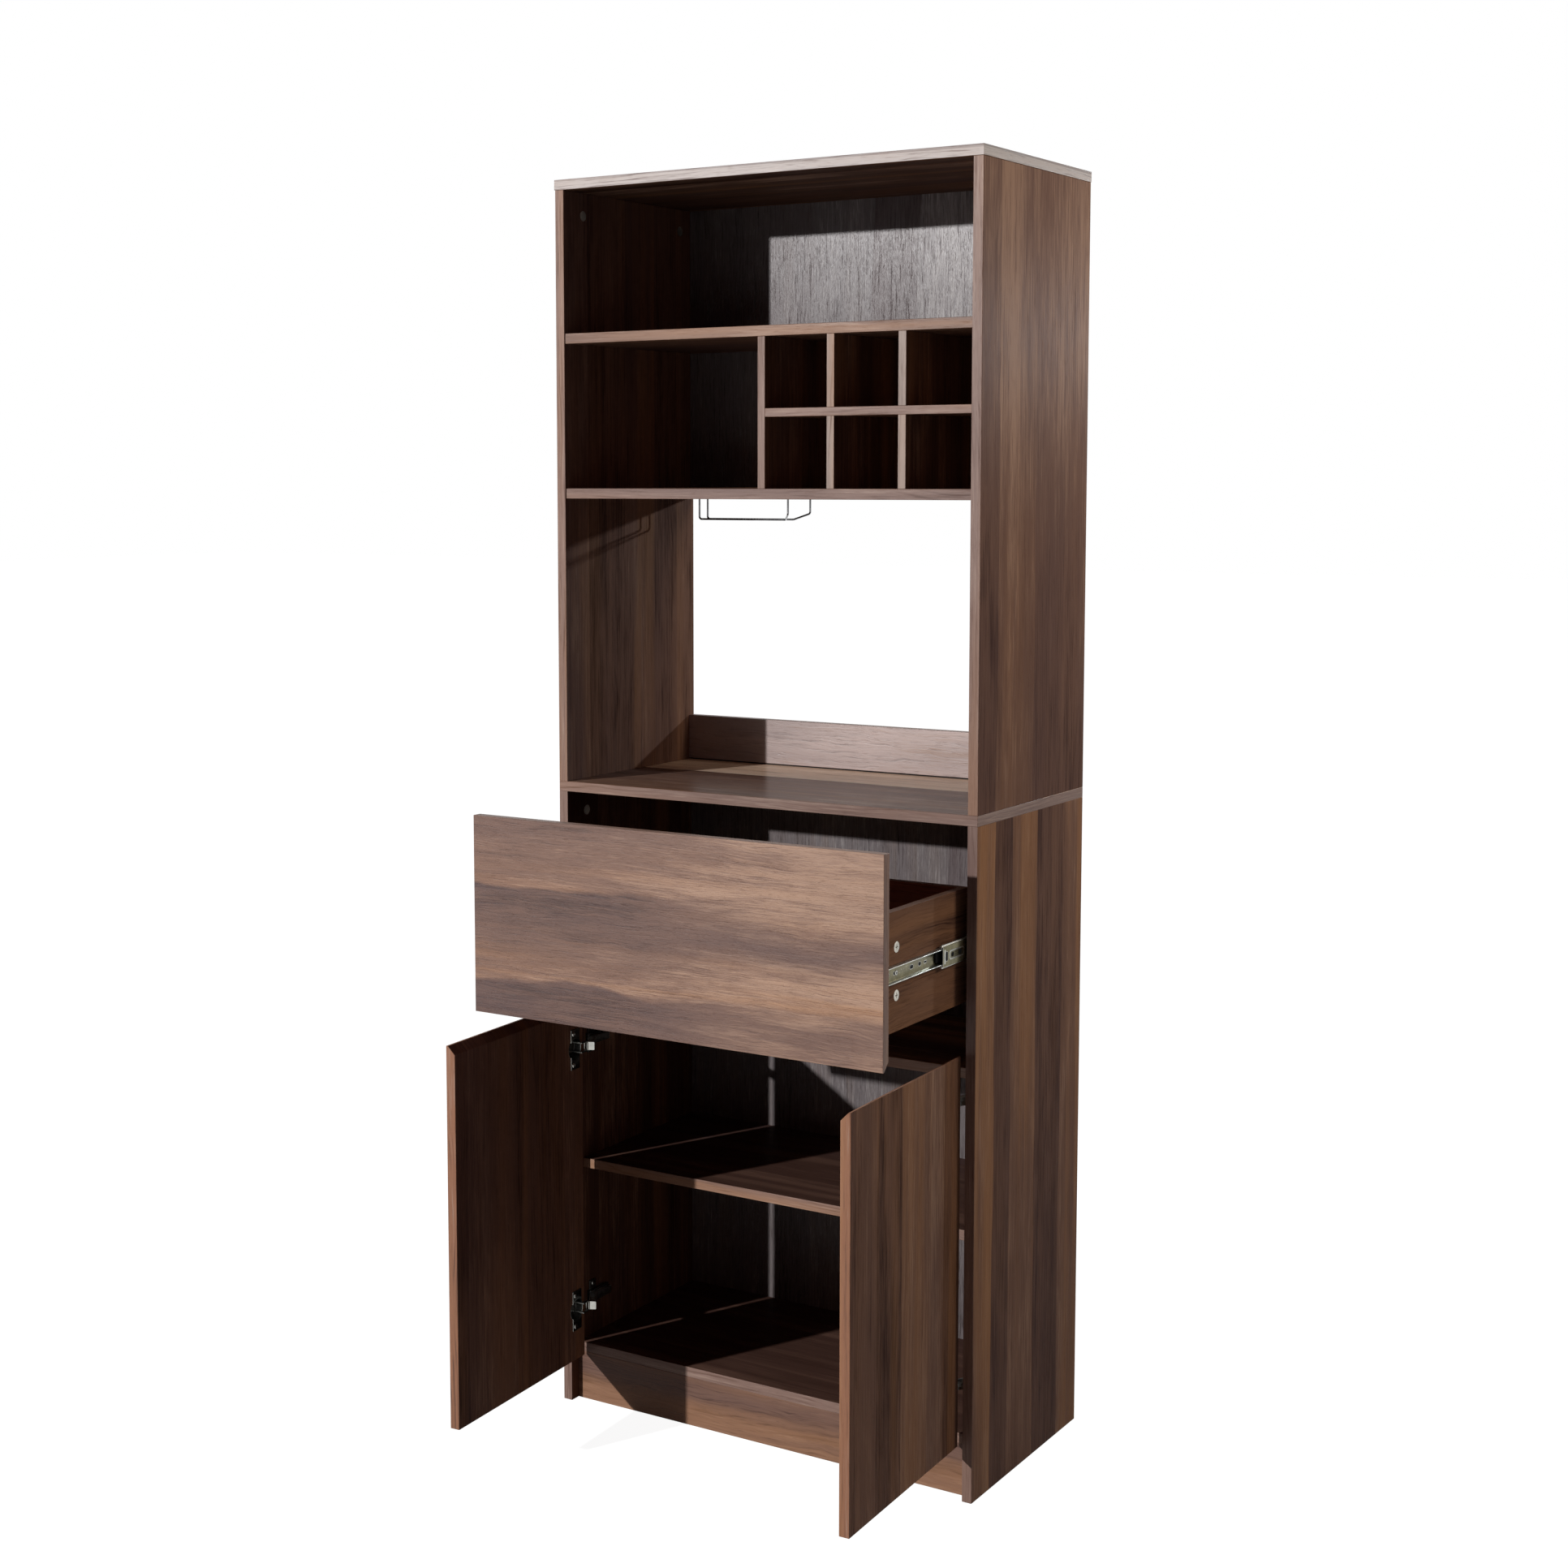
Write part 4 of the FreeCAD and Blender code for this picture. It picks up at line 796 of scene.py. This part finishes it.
def solids_of(node, pose=None):
    """Lowest and highest corner of each separate solid in a node."""
    mesh = node_mesh(node, pose)
    seen = set()
    boxes = []
    for start in mesh.verts:
        if start in seen:
            continue
        seen.add(start)
        waiting = [start]
        corners = []
        while waiting:
            vert = waiting.pop()
            corners.append(vert.co.copy())
            for edge in vert.link_edges:
                other = edge.other_vert(vert)
                if other not in seen:
                    seen.add(other)
                    waiting.append(other)
        boxes.append(tuple(Vector([end(corner[i] for corner in corners) for i in range(3)])
                           for end in (min, max)))
    mesh.free()
    return boxes


def opened(side):
    """Matrix that swings a closed door to where the frame holds it."""
    joint = next(j for j in frame["joints"] if j["name"] == f"door_swing_{side}")
    pivot = Matrix.Translation(joint["pos_m"])
    turn = Matrix.Rotation(-math.radians(max(joint["range_deg"], key=abs)), 4, joint["axis"])
    return pivot @ turn @ pivot.inverted()


# Boards

# Node: grain direction, thickness direction, start of its stretch of the print along and across
HUTCH_BOARDS = {
    "upper_side_left": ("Z", "X", 0.3, 1.2),
    "upper_side_right": ("Z", "X", 2.1, 0.1),
    "top_panel": ("X", "Z", 4.0, 2.2),
    "upper_shelf": ("X", "Z", 5.2, 3.1),
    "rack_shelf": ("X", "Z", 6.1, 3.9),
    "hutch_back": ("Z", "Y", 7.4, 4.4),
    "backsplash": ("X", "Y", 8.3, 5.2),
}
RACK_BOARDS = {
    "bay_divider": ("Z", "X", 9.1, 6.3),
    "cell_shelf": ("X", "Z", 10.2, 6.9),
    "cell_divider_lower_left": ("Z", "X", 11.3, 7.2),
    "cell_divider_lower_right": ("Z", "X", 12.1, 7.9),
    "cell_divider_upper_left": ("Z", "X", 13.4, 8.4),
    "cell_divider_upper_right": ("Z", "X", 14.2, 8.8),
}
BASE_BOARDS = {
    "lower_side_left": ("Z", "X", 15.1, 9.7),
    "lower_side_right": ("Z", "X", 16.3, 10.3),
    "worktop": ("X", "Z", 17.2, 11.1),
    "bottom_panel": ("X", "Z", 18.4, 12.2),
    "kick_plate": ("X", "Y", 19.1, 12.9),
    "middle_shelf": ("X", "Z", 20.2, 13.6),
    "drawer_divider": ("X", "Z", 21.3, 14.1),
    "lower_back": ("Z", "Y", 22.4, 15.2),
}
DRAWER_BOARDS = {
    "drawer_front": ("X", "Y", 23.1, 16.3),
    "drawer_side_left": ("Y", "X", 24.2, 17.1),
    "drawer_side_right": ("Y", "X", 25.3, 17.8),
    "drawer_back": ("X", "Y", 26.1, 18.4),
    "drawer_bottom": ("X", "Z", 27.2, 19.1),
}
DOOR_BOARDS = {"left": ("Z", "Y", 28.4, 20.3), "right": ("Z", "Y", 29.3, 21.2)}
BOARD_EDGE_ANGLE = 30
SHORTEST_BOARD_EDGE = 6 * MM
FACE_TILT = 0.6
# Shift of the print on the side of a board that faces left, front or down
BACK_SIDE_SHIFT = Vector((0.61, 0.47))


def lay_grain(mesh, along, through, start):
    """Lays the grain map in metres and the map of shares, and gives faces and bands their material."""
    a, t = AXIS[along], AXIS[through]
    c = 3 - a - t
    low = [min(v.co[i] for v in mesh.verts) for i in range(3)]
    size = [max(v.co[i] for v in mesh.verts) - low[i] for i in range(3)]
    layer = mesh.loops.layers.uv.new(GRAIN_MAP)
    shares = mesh.loops.layers.uv.new(SHARE_MAP)
    for face in mesh.faces:
        normal = face.normal
        on_face = abs(normal[t]) > FACE_TILT
        on_end = not on_face and abs(normal[a]) > abs(normal[c])
        u, v = (a, c) if on_face else ((c, t) if on_end else (a, t))
        shift = Vector(start)
        if on_face and normal[t] < 0:
            shift = shift + BACK_SIDE_SHIFT
        face.material_index = 0 if on_face else 1
        for loop in face.loops:
            place = loop.vert.co
            loop[layer].uv = shift + Vector((place[u], place[v]))
            loop[shares].uv = ((place[a] - low[a]) / size[a], (place[c] - low[c]) / size[c])


def dress_board(node, along, through, start, pose=None):
    """Board with rounded edges, its print on the faces and bands on the narrow sides."""
    mesh = node_mesh(node, pose)
    edges = sharp_edges(mesh, BOARD_EDGE_ANGLE, SHORTEST_BOARD_EDGE)
    round_edges(mesh, edges, bpy.context.scene.cabinet_board.edge_round)
    mesh.normal_update()
    lay_grain(mesh, along, through, start)
    materials = [board_material(FINISH_OF.get(node, "walnut_face")),
                 board_material(BAND_OF.get(node, "plain") + "_edge_band")]
    stand_in(node, "board", mesh, materials, pose)


def dress_boards(boards):
    for node, (along, through, *start) in boards.items():
        dress_board(node, along, through, start)


GAP_SHADE_INSET = (2 * MM, 5 * MM)
GAP_SHADE_CORNER = 1 * MM
GAP_SHADE_LIFT = 0.05 * MM


def rail_gap_shade():
    """Black strip set in the gap between the rail and the worktop, a painted shade of that gap."""
    low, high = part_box("backsplash")
    worktop_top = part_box("worktop")[1][2]
    length, depth = (high[i] - low[i] - GAP_SHADE_INSET[i] for i in range(2))
    place = Vector(((low[0] + high[0]) / 2, (low[1] + high[1]) / 2, worktop_top))
    mesh = bmesh.new()
    plate(mesh, rounded_rectangle(length, depth, GAP_SHADE_CORNER), GAP_SHADE_LIFT, low[2] - worktop_top,
          Matrix.Translation(place))
    new_piece("rail_gap_shade", mesh, [fitting_material("plastic")], "cabinet")


# Pressed metal

OUTWARD = {"left": -1, "right": 1}
# Distance of the side panels' inner faces from the middle
INNER_FACE = 0.335
PRESSED_ANGLE = 40
SHORTEST_IN_RADII = 1.5
SIDEWAYS = 0.9
# Place of each material in a pressed piece's list
BRIGHT, WEB, BLACK = 0, 1, 2
PRESSED_COLOURS = ("zinc", "slide_zinc_painted_shade", "plastic")


def pressed_piece(node, radius, pose=None, detail=None, colours=PRESSED_COLOURS):
    """Metal piece from its node with rounded edges. The detail function adds to its mesh."""
    materials = [fitting_material(colour) for colour in colours]
    mesh = node_mesh(node, pose)
    round_edges(mesh, sharp_edges(mesh, PRESSED_ANGLE, SHORTEST_IN_RADII * radius), radius)
    if detail:
        mesh.normal_update()
        detail(mesh)
    stand_in(node, "pressing", mesh, materials, pose, PRESSED_ANGLE)


# Width, height and corner radius of the cap
ARM_CAP = (15.5 * MM, 12.2 * MM, 1.2 * MM)
ARM_CAP_MIDDLE = 31.4 * MM
ARM_CAP_THICKNESS = 1.6 * MM
ARM_CAP_FRONT = 3.4 * MM
ARM_CAP_TURN = math.radians(28)


def arm_cap(node, side):
    """Bright folded front of a hinge arm, turned a little inwards between its two links."""
    low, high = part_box(node)
    way = OUTWARD[side]

    def detail(mesh):
        place = Vector((way * (INNER_FACE - ARM_CAP_MIDDLE), low[1] + ARM_CAP_FRONT, (low[2] + high[2]) / 2))
        turned = facing(place, (-way * math.sin(ARM_CAP_TURN), -math.cos(ARM_CAP_TURN), 0))
        plate(mesh, rounded_rectangle(*ARM_CAP), -ARM_CAP_THICKNESS, 0, turned, BRIGHT)
    return detail


# The flange lies behind this depth, and its edge faces sideways by more than the tilt
FLANGE_EDGE_FROM = -0.0135
FLANGE_EDGE_TILT = 0.8
HIGHLIGHT_SLOT = 1


def flange_edge_highlight(side):
    """Gives the inner edge of a cup's flange the piece's bright zinc, a painted highlight on that edge."""
    def detail(mesh):
        for face in mesh.faces:
            inward = -OUTWARD[side] * face.normal.x
            if inward > FLANGE_EDGE_TILT and face.calc_center_median().y > FLANGE_EDGE_FROM:
                face.material_index = HIGHLIGHT_SLOT
    return detail


# What counts as the front end of a slide, and the room that it leaves
FRONT_END = 0.05 * MM
FRONT_ROOM = 0.1 * MM


def trimmed_front(node):
    """Leaves a hair of room between a slide's front end and the closed drawer front."""
    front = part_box(node)[0][1]

    def detail(mesh):
        for vert in mesh.verts:
            if vert.co.y < front + FRONT_END:
                vert.co.y = front + FRONT_ROOM
    return detail


LIP_WIDTH = 1.2 * MM
LIP_HEIGHT = 0.1 * MM
SLOT_HEIGHT = 0.18 * MM
SLOT_CORNER = 2.2


def slot_hole_shade(mesh, matrix, length, width):
    """Slot as a black sheet, a painted shade of the hole, with a thin bright lip."""
    for extra, height, material in ((LIP_WIDTH, LIP_HEIGHT, BRIGHT), (0, SLOT_HEIGHT, BLACK)):
        radius = (min(length, width) + extra) / SLOT_CORNER
        outline = rounded_rectangle(length + extra, width + extra, radius)
        plate(mesh, outline, 0, height, matrix, material)


# Depth of each member's web from the side panel's inner face
WEB_DEPTH = {"drawer": 11.8 * MM, "middle": 2.9 * MM}
WEB_BAND = 0.3 * MM
# Slots of each web in millimetres: place behind the front end, length and width
WEB_SLOTS = {
    "drawer": ((13, 7, 4.5), (32, 7, 4.5), (79, 9, 5), (102, 7, 5), (175, 9, 5), (210, 7, 4.5)),
    "middle": ((10, 6.5, 13), (27, 8, 6), (50, 11, 7), (120, 9, 6), (200, 9, 6)),
}
# Latch, stop and pressed loop: place behind the front end, length, width, corner, height, material
WEB_PLATES = {
    # The first two plates of the drawer member are a bright lip round a black slot, a painted shade of the hole
    "drawer": ((117.7, 9, 4, 1.9, 0.35, BRIGHT), (117.7, 7.6, 2.6, 1.2, 0.4, BLACK),
               (153.5, 19, 14, 2, 2.4, BLACK)),
    "middle": ((40, 44, 13, 4, 0.12, BRIGHT), (40, 40, 9, 3, 0.16, WEB),
               (4.5, 3.5, 20, 1, 0.2, BRIGHT)),
}


def web_detail(member, side):
    """Web of a slide member in a darker zinc that paints the shade inside the cabinet, with its holes, latch and
    pressed loop.
    """
    way = OUTWARD[side]
    low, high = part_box(f"slide_{member}_{side}")
    depth = INNER_FACE - WEB_DEPTH[member]

    def at(y):
        """Place on the web's outer face, y behind the member's front end."""
        return facing((way * depth, low[1] + y * MM, (low[2] + high[2]) / 2), (way, 0, 0))

    def detail(mesh):
        for face in mesh.faces:
            off_web = abs(abs(face.calc_center_median().x) - depth)
            if abs(face.normal.x) > SIDEWAYS and off_web < WEB_BAND:
                face.material_index = WEB
        for y, length, width, corner, height, material in WEB_PLATES[member]:
            outline = rounded_rectangle(length * MM, width * MM, corner * MM)
            plate(mesh, outline, 0, height * MM, at(y), material)
        for y, length, width in WEB_SLOTS[member]:
            slot_hole_shade(mesh, at(y), length * MM, width * MM)
    return detail


FASTENER_ANGLE = 35
# Radius and height of a screw's head, and of its tip
SCREW_HEAD = (3.5 * MM, 1.4 * MM)
SCREW_TIP = (0.7 * MM, 2.5 * MM)
SHANK_RADIUS = 1.75 * MM
SHANK_STEPS = 20
CAM_RIM = 0.6 * MM
CAM_STEPS = 40
# Reach, arm and depth of the cross recesses
SCREW_CROSS = (1.9 * MM, 0.75 * MM, 1.1 * MM)
CAM_CROSS = (3.6 * MM, 1.5 * MM, 2.2 * MM)


def finish_fasteners(node, ending, mesh, colour, pose=None):
    """Joins each head to its body and makes the piece."""
    bmesh.ops.remove_doubles(mesh, verts=mesh.verts, dist=HEAD_JOINT)
    stand_in(node, ending, mesh, [fitting_material(colour)], pose, FASTENER_ANGLE)


def screw_set(node, head_way, pose=None):
    """Screws of one node as detailed ones. head_way gives the way a screw's head points."""
    mesh = bmesh.new()
    head_radius, head_height = SCREW_HEAD
    tip_radius, tip_length = SCREW_TIP
    for low, high in solids_of(node, pose):
        middle = (low + high) / 2
        way = Vector(head_way(middle))
        axis = max(range(3), key=lambda i: abs(way[i]))
        length = high[axis] - low[axis]
        under_head = length - head_height
        lathe(mesh, [(0, 0), (tip_radius, 0), (SHANK_RADIUS, tip_length), (SHANK_RADIUS, under_head),
                     (head_radius, under_head)], facing(middle - way * length / 2, way), SHANK_STEPS)
        head = facing(middle + way * (length / 2 - head_height), way)
        cross_head(mesh, head, head_radius, head_height, SCREW_CROSS)
    finish_fasteners(node, "cross_heads", mesh, "zinc", pose)


def cam_set(node, outward):
    """Cam locks of one node. outward is +1 where a cam faces away from the middle, -1 where to it."""
    mesh = bmesh.new()
    for low, high in solids_of(node):
        middle = (low + high) / 2
        way = Vector((math.copysign(outward, middle.x), 0, 0))
        radius = (high.z - low.z) / 2
        depth = high.x - low.x
        base = facing(middle - way * depth / 2, way)
        lathe(mesh, [(0, 0), (radius, 0), (radius, depth - CAM_RIM)], base, CAM_STEPS)
        face = facing(middle + way * (depth / 2 - CAM_RIM), way)
        cross_head(mesh, face, radius, CAM_RIM, CAM_CROSS, CAM_STEPS)
    finish_fasteners(node, "discs", mesh, "cast")


def plated(node, colour):
    """Gives a node that keeps its own mesh its metal."""
    materials = frame["nodes"][node].data.materials
    materials.clear()
    materials.append(fitting_material(colour))


# Studio

def build_camera(studio):
    yaw, pitch, roll = studio.camera_yaw, studio.camera_pitch, studio.camera_roll
    forward = Vector((math.sin(yaw) * math.cos(pitch), math.cos(yaw) * math.cos(pitch), math.sin(pitch)))
    level = Vector((math.cos(yaw), -math.sin(yaw), 0))
    upright = level.cross(forward)
    right = math.cos(roll) * level + math.sin(roll) * upright
    up = math.cos(roll) * upright - math.sin(roll) * level
    camera = bpy.data.objects.new("camera", bpy.data.cameras.new("camera"))
    camera.matrix_world = (Matrix.Translation(studio.camera_place)
                           @ Matrix((right, up, -forward)).transposed().to_4x4())
    lens = camera.data
    lens.sensor_width = SENSOR_WIDTH
    lens.lens = studio.focal_pixels * lens.sensor_width / studio.photo_side
    half = studio.photo_side / 2
    lens.shift_x = (half - studio.centre_x) / studio.photo_side
    lens.shift_y = (studio.centre_y - half) / studio.photo_side
    bpy.context.scene.collection.objects.link(camera)
    bpy.context.scene.camera = camera


def add_lamp(name, kind, place, power, colour=(1, 1, 1)):
    """Lamp that the camera doesn't see."""
    lamp = bpy.data.lights.new(name, kind)
    lamp.energy = power
    lamp.color = colour
    holder = bpy.data.objects.new(name, lamp)
    holder.location = place
    holder.visible_camera = False
    bpy.context.scene.collection.objects.link(holder)
    return holder


def build_lamps(studio):
    key = add_lamp("key_lamp", "POINT", studio.key_place, studio.key_power)
    key.data.shadow_soft_size = studio.key_radius
    rear = add_lamp("rear_lamp", "POINT", studio.rear_place, studio.rear_power, studio.rear_colour[:3])
    rear.data.shadow_soft_size = studio.rear_radius
    side = add_lamp("side_lamp", "AREA", studio.side_place, studio.side_power, studio.side_colour[:3])
    side.data.size = studio.side_width
    towards = Vector(studio.side_target) - Vector(studio.side_place)
    side.rotation_euler = towards.to_track_quat("-Z", "Y").to_euler()


def seen_share(tree):
    """1 where the camera, a mirror or glass looks at the surface, 0 for light that bounces."""
    rays = add_node(tree, "ShaderNodeLightPath").outputs
    seen = maths(tree, "MAXIMUM", rays["Is Camera Ray"], rays["Is Glossy Ray"])
    return maths(tree, "MAXIMUM", seen, rays["Is Transmission Ray"])


def build_world(studio):
    world = bpy.data.worlds.new("studio_air")
    bpy.context.scene.world = world
    world.use_nodes = True
    tree = world.node_tree
    background = tree.nodes["Background"]
    colour = mixed(tree, seen_share(tree), studio.ambient, WHITE)
    tree.links.new(colour, background.inputs["Color"])


def floor_material(studio):
    """Matt floor that glows for the camera, a little less near the cabinet than far away."""
    material = bpy.data.materials.new("pale_floor")
    material.use_nodes = True
    tree = material.node_tree
    tree.nodes.clear()
    place = add_node(tree, "ShaderNodeNewGeometry").outputs["Position"]
    distance = add_node(tree, "ShaderNodeVectorMath", {0: place}, operation="LENGTH").outputs["Value"]
    glow = ramped(tree, distance, studio.glow_start, studio.glow_end, FLOOR_GLOW, 1.0)
    strength = times(tree, glow, seen_share(tree))
    emission = add_node(tree, "ShaderNodeEmission", {"Color": WHITE, "Strength": strength})
    matt = add_node(tree, "ShaderNodeBsdfDiffuse", {"Color": studio.floor_grey})
    both = add_node(tree, "ShaderNodeAddShader", {0: emission.outputs[0], 1: matt.outputs[0]})
    add_node(tree, "ShaderNodeOutputMaterial", {"Surface": both.outputs[0]})
    return material


def build_floor(studio):
    """Pale floor that keeps the shadow and runs out into the white background."""
    mesh = bmesh.new()
    bmesh.ops.create_grid(mesh, x_segments=8, y_segments=8, size=studio.floor_size / 2)
    data = bpy.data.meshes.new("floor")
    mesh.to_mesh(data)
    mesh.free()
    data.materials.append(floor_material(studio))
    floor = bpy.data.objects.new("floor", data)
    bpy.context.scene.collection.objects.link(floor)


# Operators

class CabinetStep(Operator):
    """One step of the finish."""

    bl_options = {"REGISTER", "UNDO"}


class CABINET_OT_hutch(CabinetStep):
    """Board print and edge bands on the hutch"""

    bl_idname = "cabinet.hutch"
    bl_label = "Hutch"

    def execute(self, context):
        dress_boards(HUTCH_BOARDS)
        rail_gap_shade()
        return {"FINISHED"}


class CABINET_OT_bottle_rack(CabinetStep):
    """Board print and edge bands on the bottle rack"""

    bl_idname = "cabinet.bottle_rack"
    bl_label = "Bottle rack"

    def execute(self, context):
        dress_boards(RACK_BOARDS)
        return {"FINISHED"}


class CABINET_OT_base(CabinetStep):
    """Board print and edge bands on the base cabinet"""

    bl_idname = "cabinet.base"
    bl_label = "Base cabinet"

    def execute(self, context):
        dress_boards(BASE_BOARDS)
        return {"FINISHED"}


class CABINET_OT_drawer(CabinetStep):
    """Board print and edge bands on the drawer"""

    bl_idname = "cabinet.drawer"
    bl_label = "Drawer"

    def execute(self, context):
        dress_boards(DRAWER_BOARDS)
        return {"FINISHED"}


class CABINET_OT_doors(CabinetStep):
    """Board print and edge bands on both doors"""

    bl_idname = "cabinet.doors"
    bl_label = "Doors"

    def execute(self, context):
        for side, (along, through, *start) in DOOR_BOARDS.items():
            dress_board(f"door_{side}", along, through, start, opened(side))
        return {"FINISHED"}


class CABINET_OT_stemware_rack(CabinetStep):
    """Bright wire rack for stemware"""

    bl_idname = "cabinet.stemware_rack"
    bl_label = "Stemware rack"

    def execute(self, context):
        for name in ("stemware_wire_front", "stemware_wire_back"):
            plated(name, "wire")
            frame["nodes"][name].data.shade_smooth()
        return {"FINISHED"}


class CABINET_OT_hinges(CabinetStep):
    """Cup hinges of both doors"""

    bl_idname = "cabinet.hinges"
    bl_label = "Hinges"

    def execute(self, context):
        radius = context.scene.cabinet_fittings.press_round
        for side in SIDES:
            for level in LEVELS:
                # Cups and plates take the darkened nickel, a painted dark reflection; the flange edge gets a
                # painted highlight
                pressed_piece(f"hinge_cup_{side}_{level}", radius, opened(side), flange_edge_highlight(side),
                              ("nickel_painted_shade", "zinc"))
                arm = f"hinge_arm_{side}_{level}"
                pressed_piece(arm, 2 * radius, detail=arm_cap(arm, side))
                pressed_piece(f"hinge_plate_{side}_{level}", radius, colours=("nickel_painted_shade",))
        return {"FINISHED"}


class CABINET_OT_slides(CabinetStep):
    """Ball bearing slides of the drawer"""

    bl_idname = "cabinet.slides"
    bl_label = "Slides"

    def execute(self, context):
        radius = context.scene.cabinet_fittings.press_round
        for side in SIDES:
            fixed = f"slide_cabinet_{side}"
            pressed_piece(fixed, radius, detail=trimmed_front(fixed))
            for member in ("middle", "drawer"):
                pressed_piece(f"slide_{member}_{side}", radius, detail=web_detail(member, side))
        return {"FINISHED"}


class CABINET_OT_fittings(CabinetStep):
    """Screws, cam locks, bolts and shelf pegs"""

    bl_idname = "cabinet.fittings"
    bl_label = "Fittings"

    def execute(self, context):
        screw_set("carcass_screws", lambda place: (math.copysign(1, -place.x), 0, 0))
        screw_set("drawer_screws", lambda place: (math.copysign(1, place.x), 0, 0))
        for side in SIDES:
            screw_set(f"cup_screws_{side}", lambda place: (0, 1, 0), opened(side))
        cam_set("cam_locks", -1)
        cam_set("drawer_cams", 1)
        for name in ("cam_bolts", "drawer_bolts", "shelf_pegs"):
            plated(name, "zinc")
        return {"FINISHED"}


class CABINET_OT_studio(CabinetStep):
    """Camera, lamps, floor and background"""

    bl_idname = "cabinet.studio"
    bl_label = "Studio"

    def execute(self, context):
        studio = context.scene.cabinet_studio
        context.scene.view_settings.view_transform = "Standard"
        build_camera(studio)
        build_lamps(studio)
        build_world(studio)
        build_floor(studio)
        return {"FINISHED"}


STEPS = (CABINET_OT_hutch, CABINET_OT_bottle_rack, CABINET_OT_base, CABINET_OT_drawer, CABINET_OT_doors,
         CABINET_OT_stemware_rack, CABINET_OT_hinges, CABINET_OT_slides, CABINET_OT_fittings,
         CABINET_OT_studio)


class CABINET_PT_finish(Panel):
    """Steps and settings of the cabinet's finish"""

    bl_idname = "CABINET_PT_finish"
    bl_label = "Wine Cabinet Finish"
    bl_space_type = "VIEW_3D"
    bl_region_type = "UI"
    bl_category = "Cabinet"

    def draw(self, context):
        for step in STEPS:
            self.layout.operator(step.bl_idname)
        for settings in (context.scene.cabinet_board, context.scene.cabinet_fittings,
                         context.scene.cabinet_studio):
            box = self.layout.box()
            for name in settings.__annotations__:
                box.prop(settings, name)


SETTINGS = {"cabinet_board": BoardSettings, "cabinet_fittings": FittingSettings,
            "cabinet_studio": StudioSettings}


def register():
    for cls in (*SETTINGS.values(), *STEPS, CABINET_PT_finish):
        bpy.utils.register_class(cls)
    for name, cls in SETTINGS.items():
        setattr(bpy.types.Scene, name, PointerProperty(type=cls))


def unregister():
    for name in SETTINGS:
        delattr(bpy.types.Scene, name)
    for cls in reversed((*SETTINGS.values(), *STEPS, CABINET_PT_finish)):
        bpy.utils.unregister_class(cls)


def main():
    register()
    for step in STEPS:
        group, name = step.bl_idname.split(".")
        getattr(getattr(bpy.ops, group), name)()


if __name__ == "__main__":
    main()
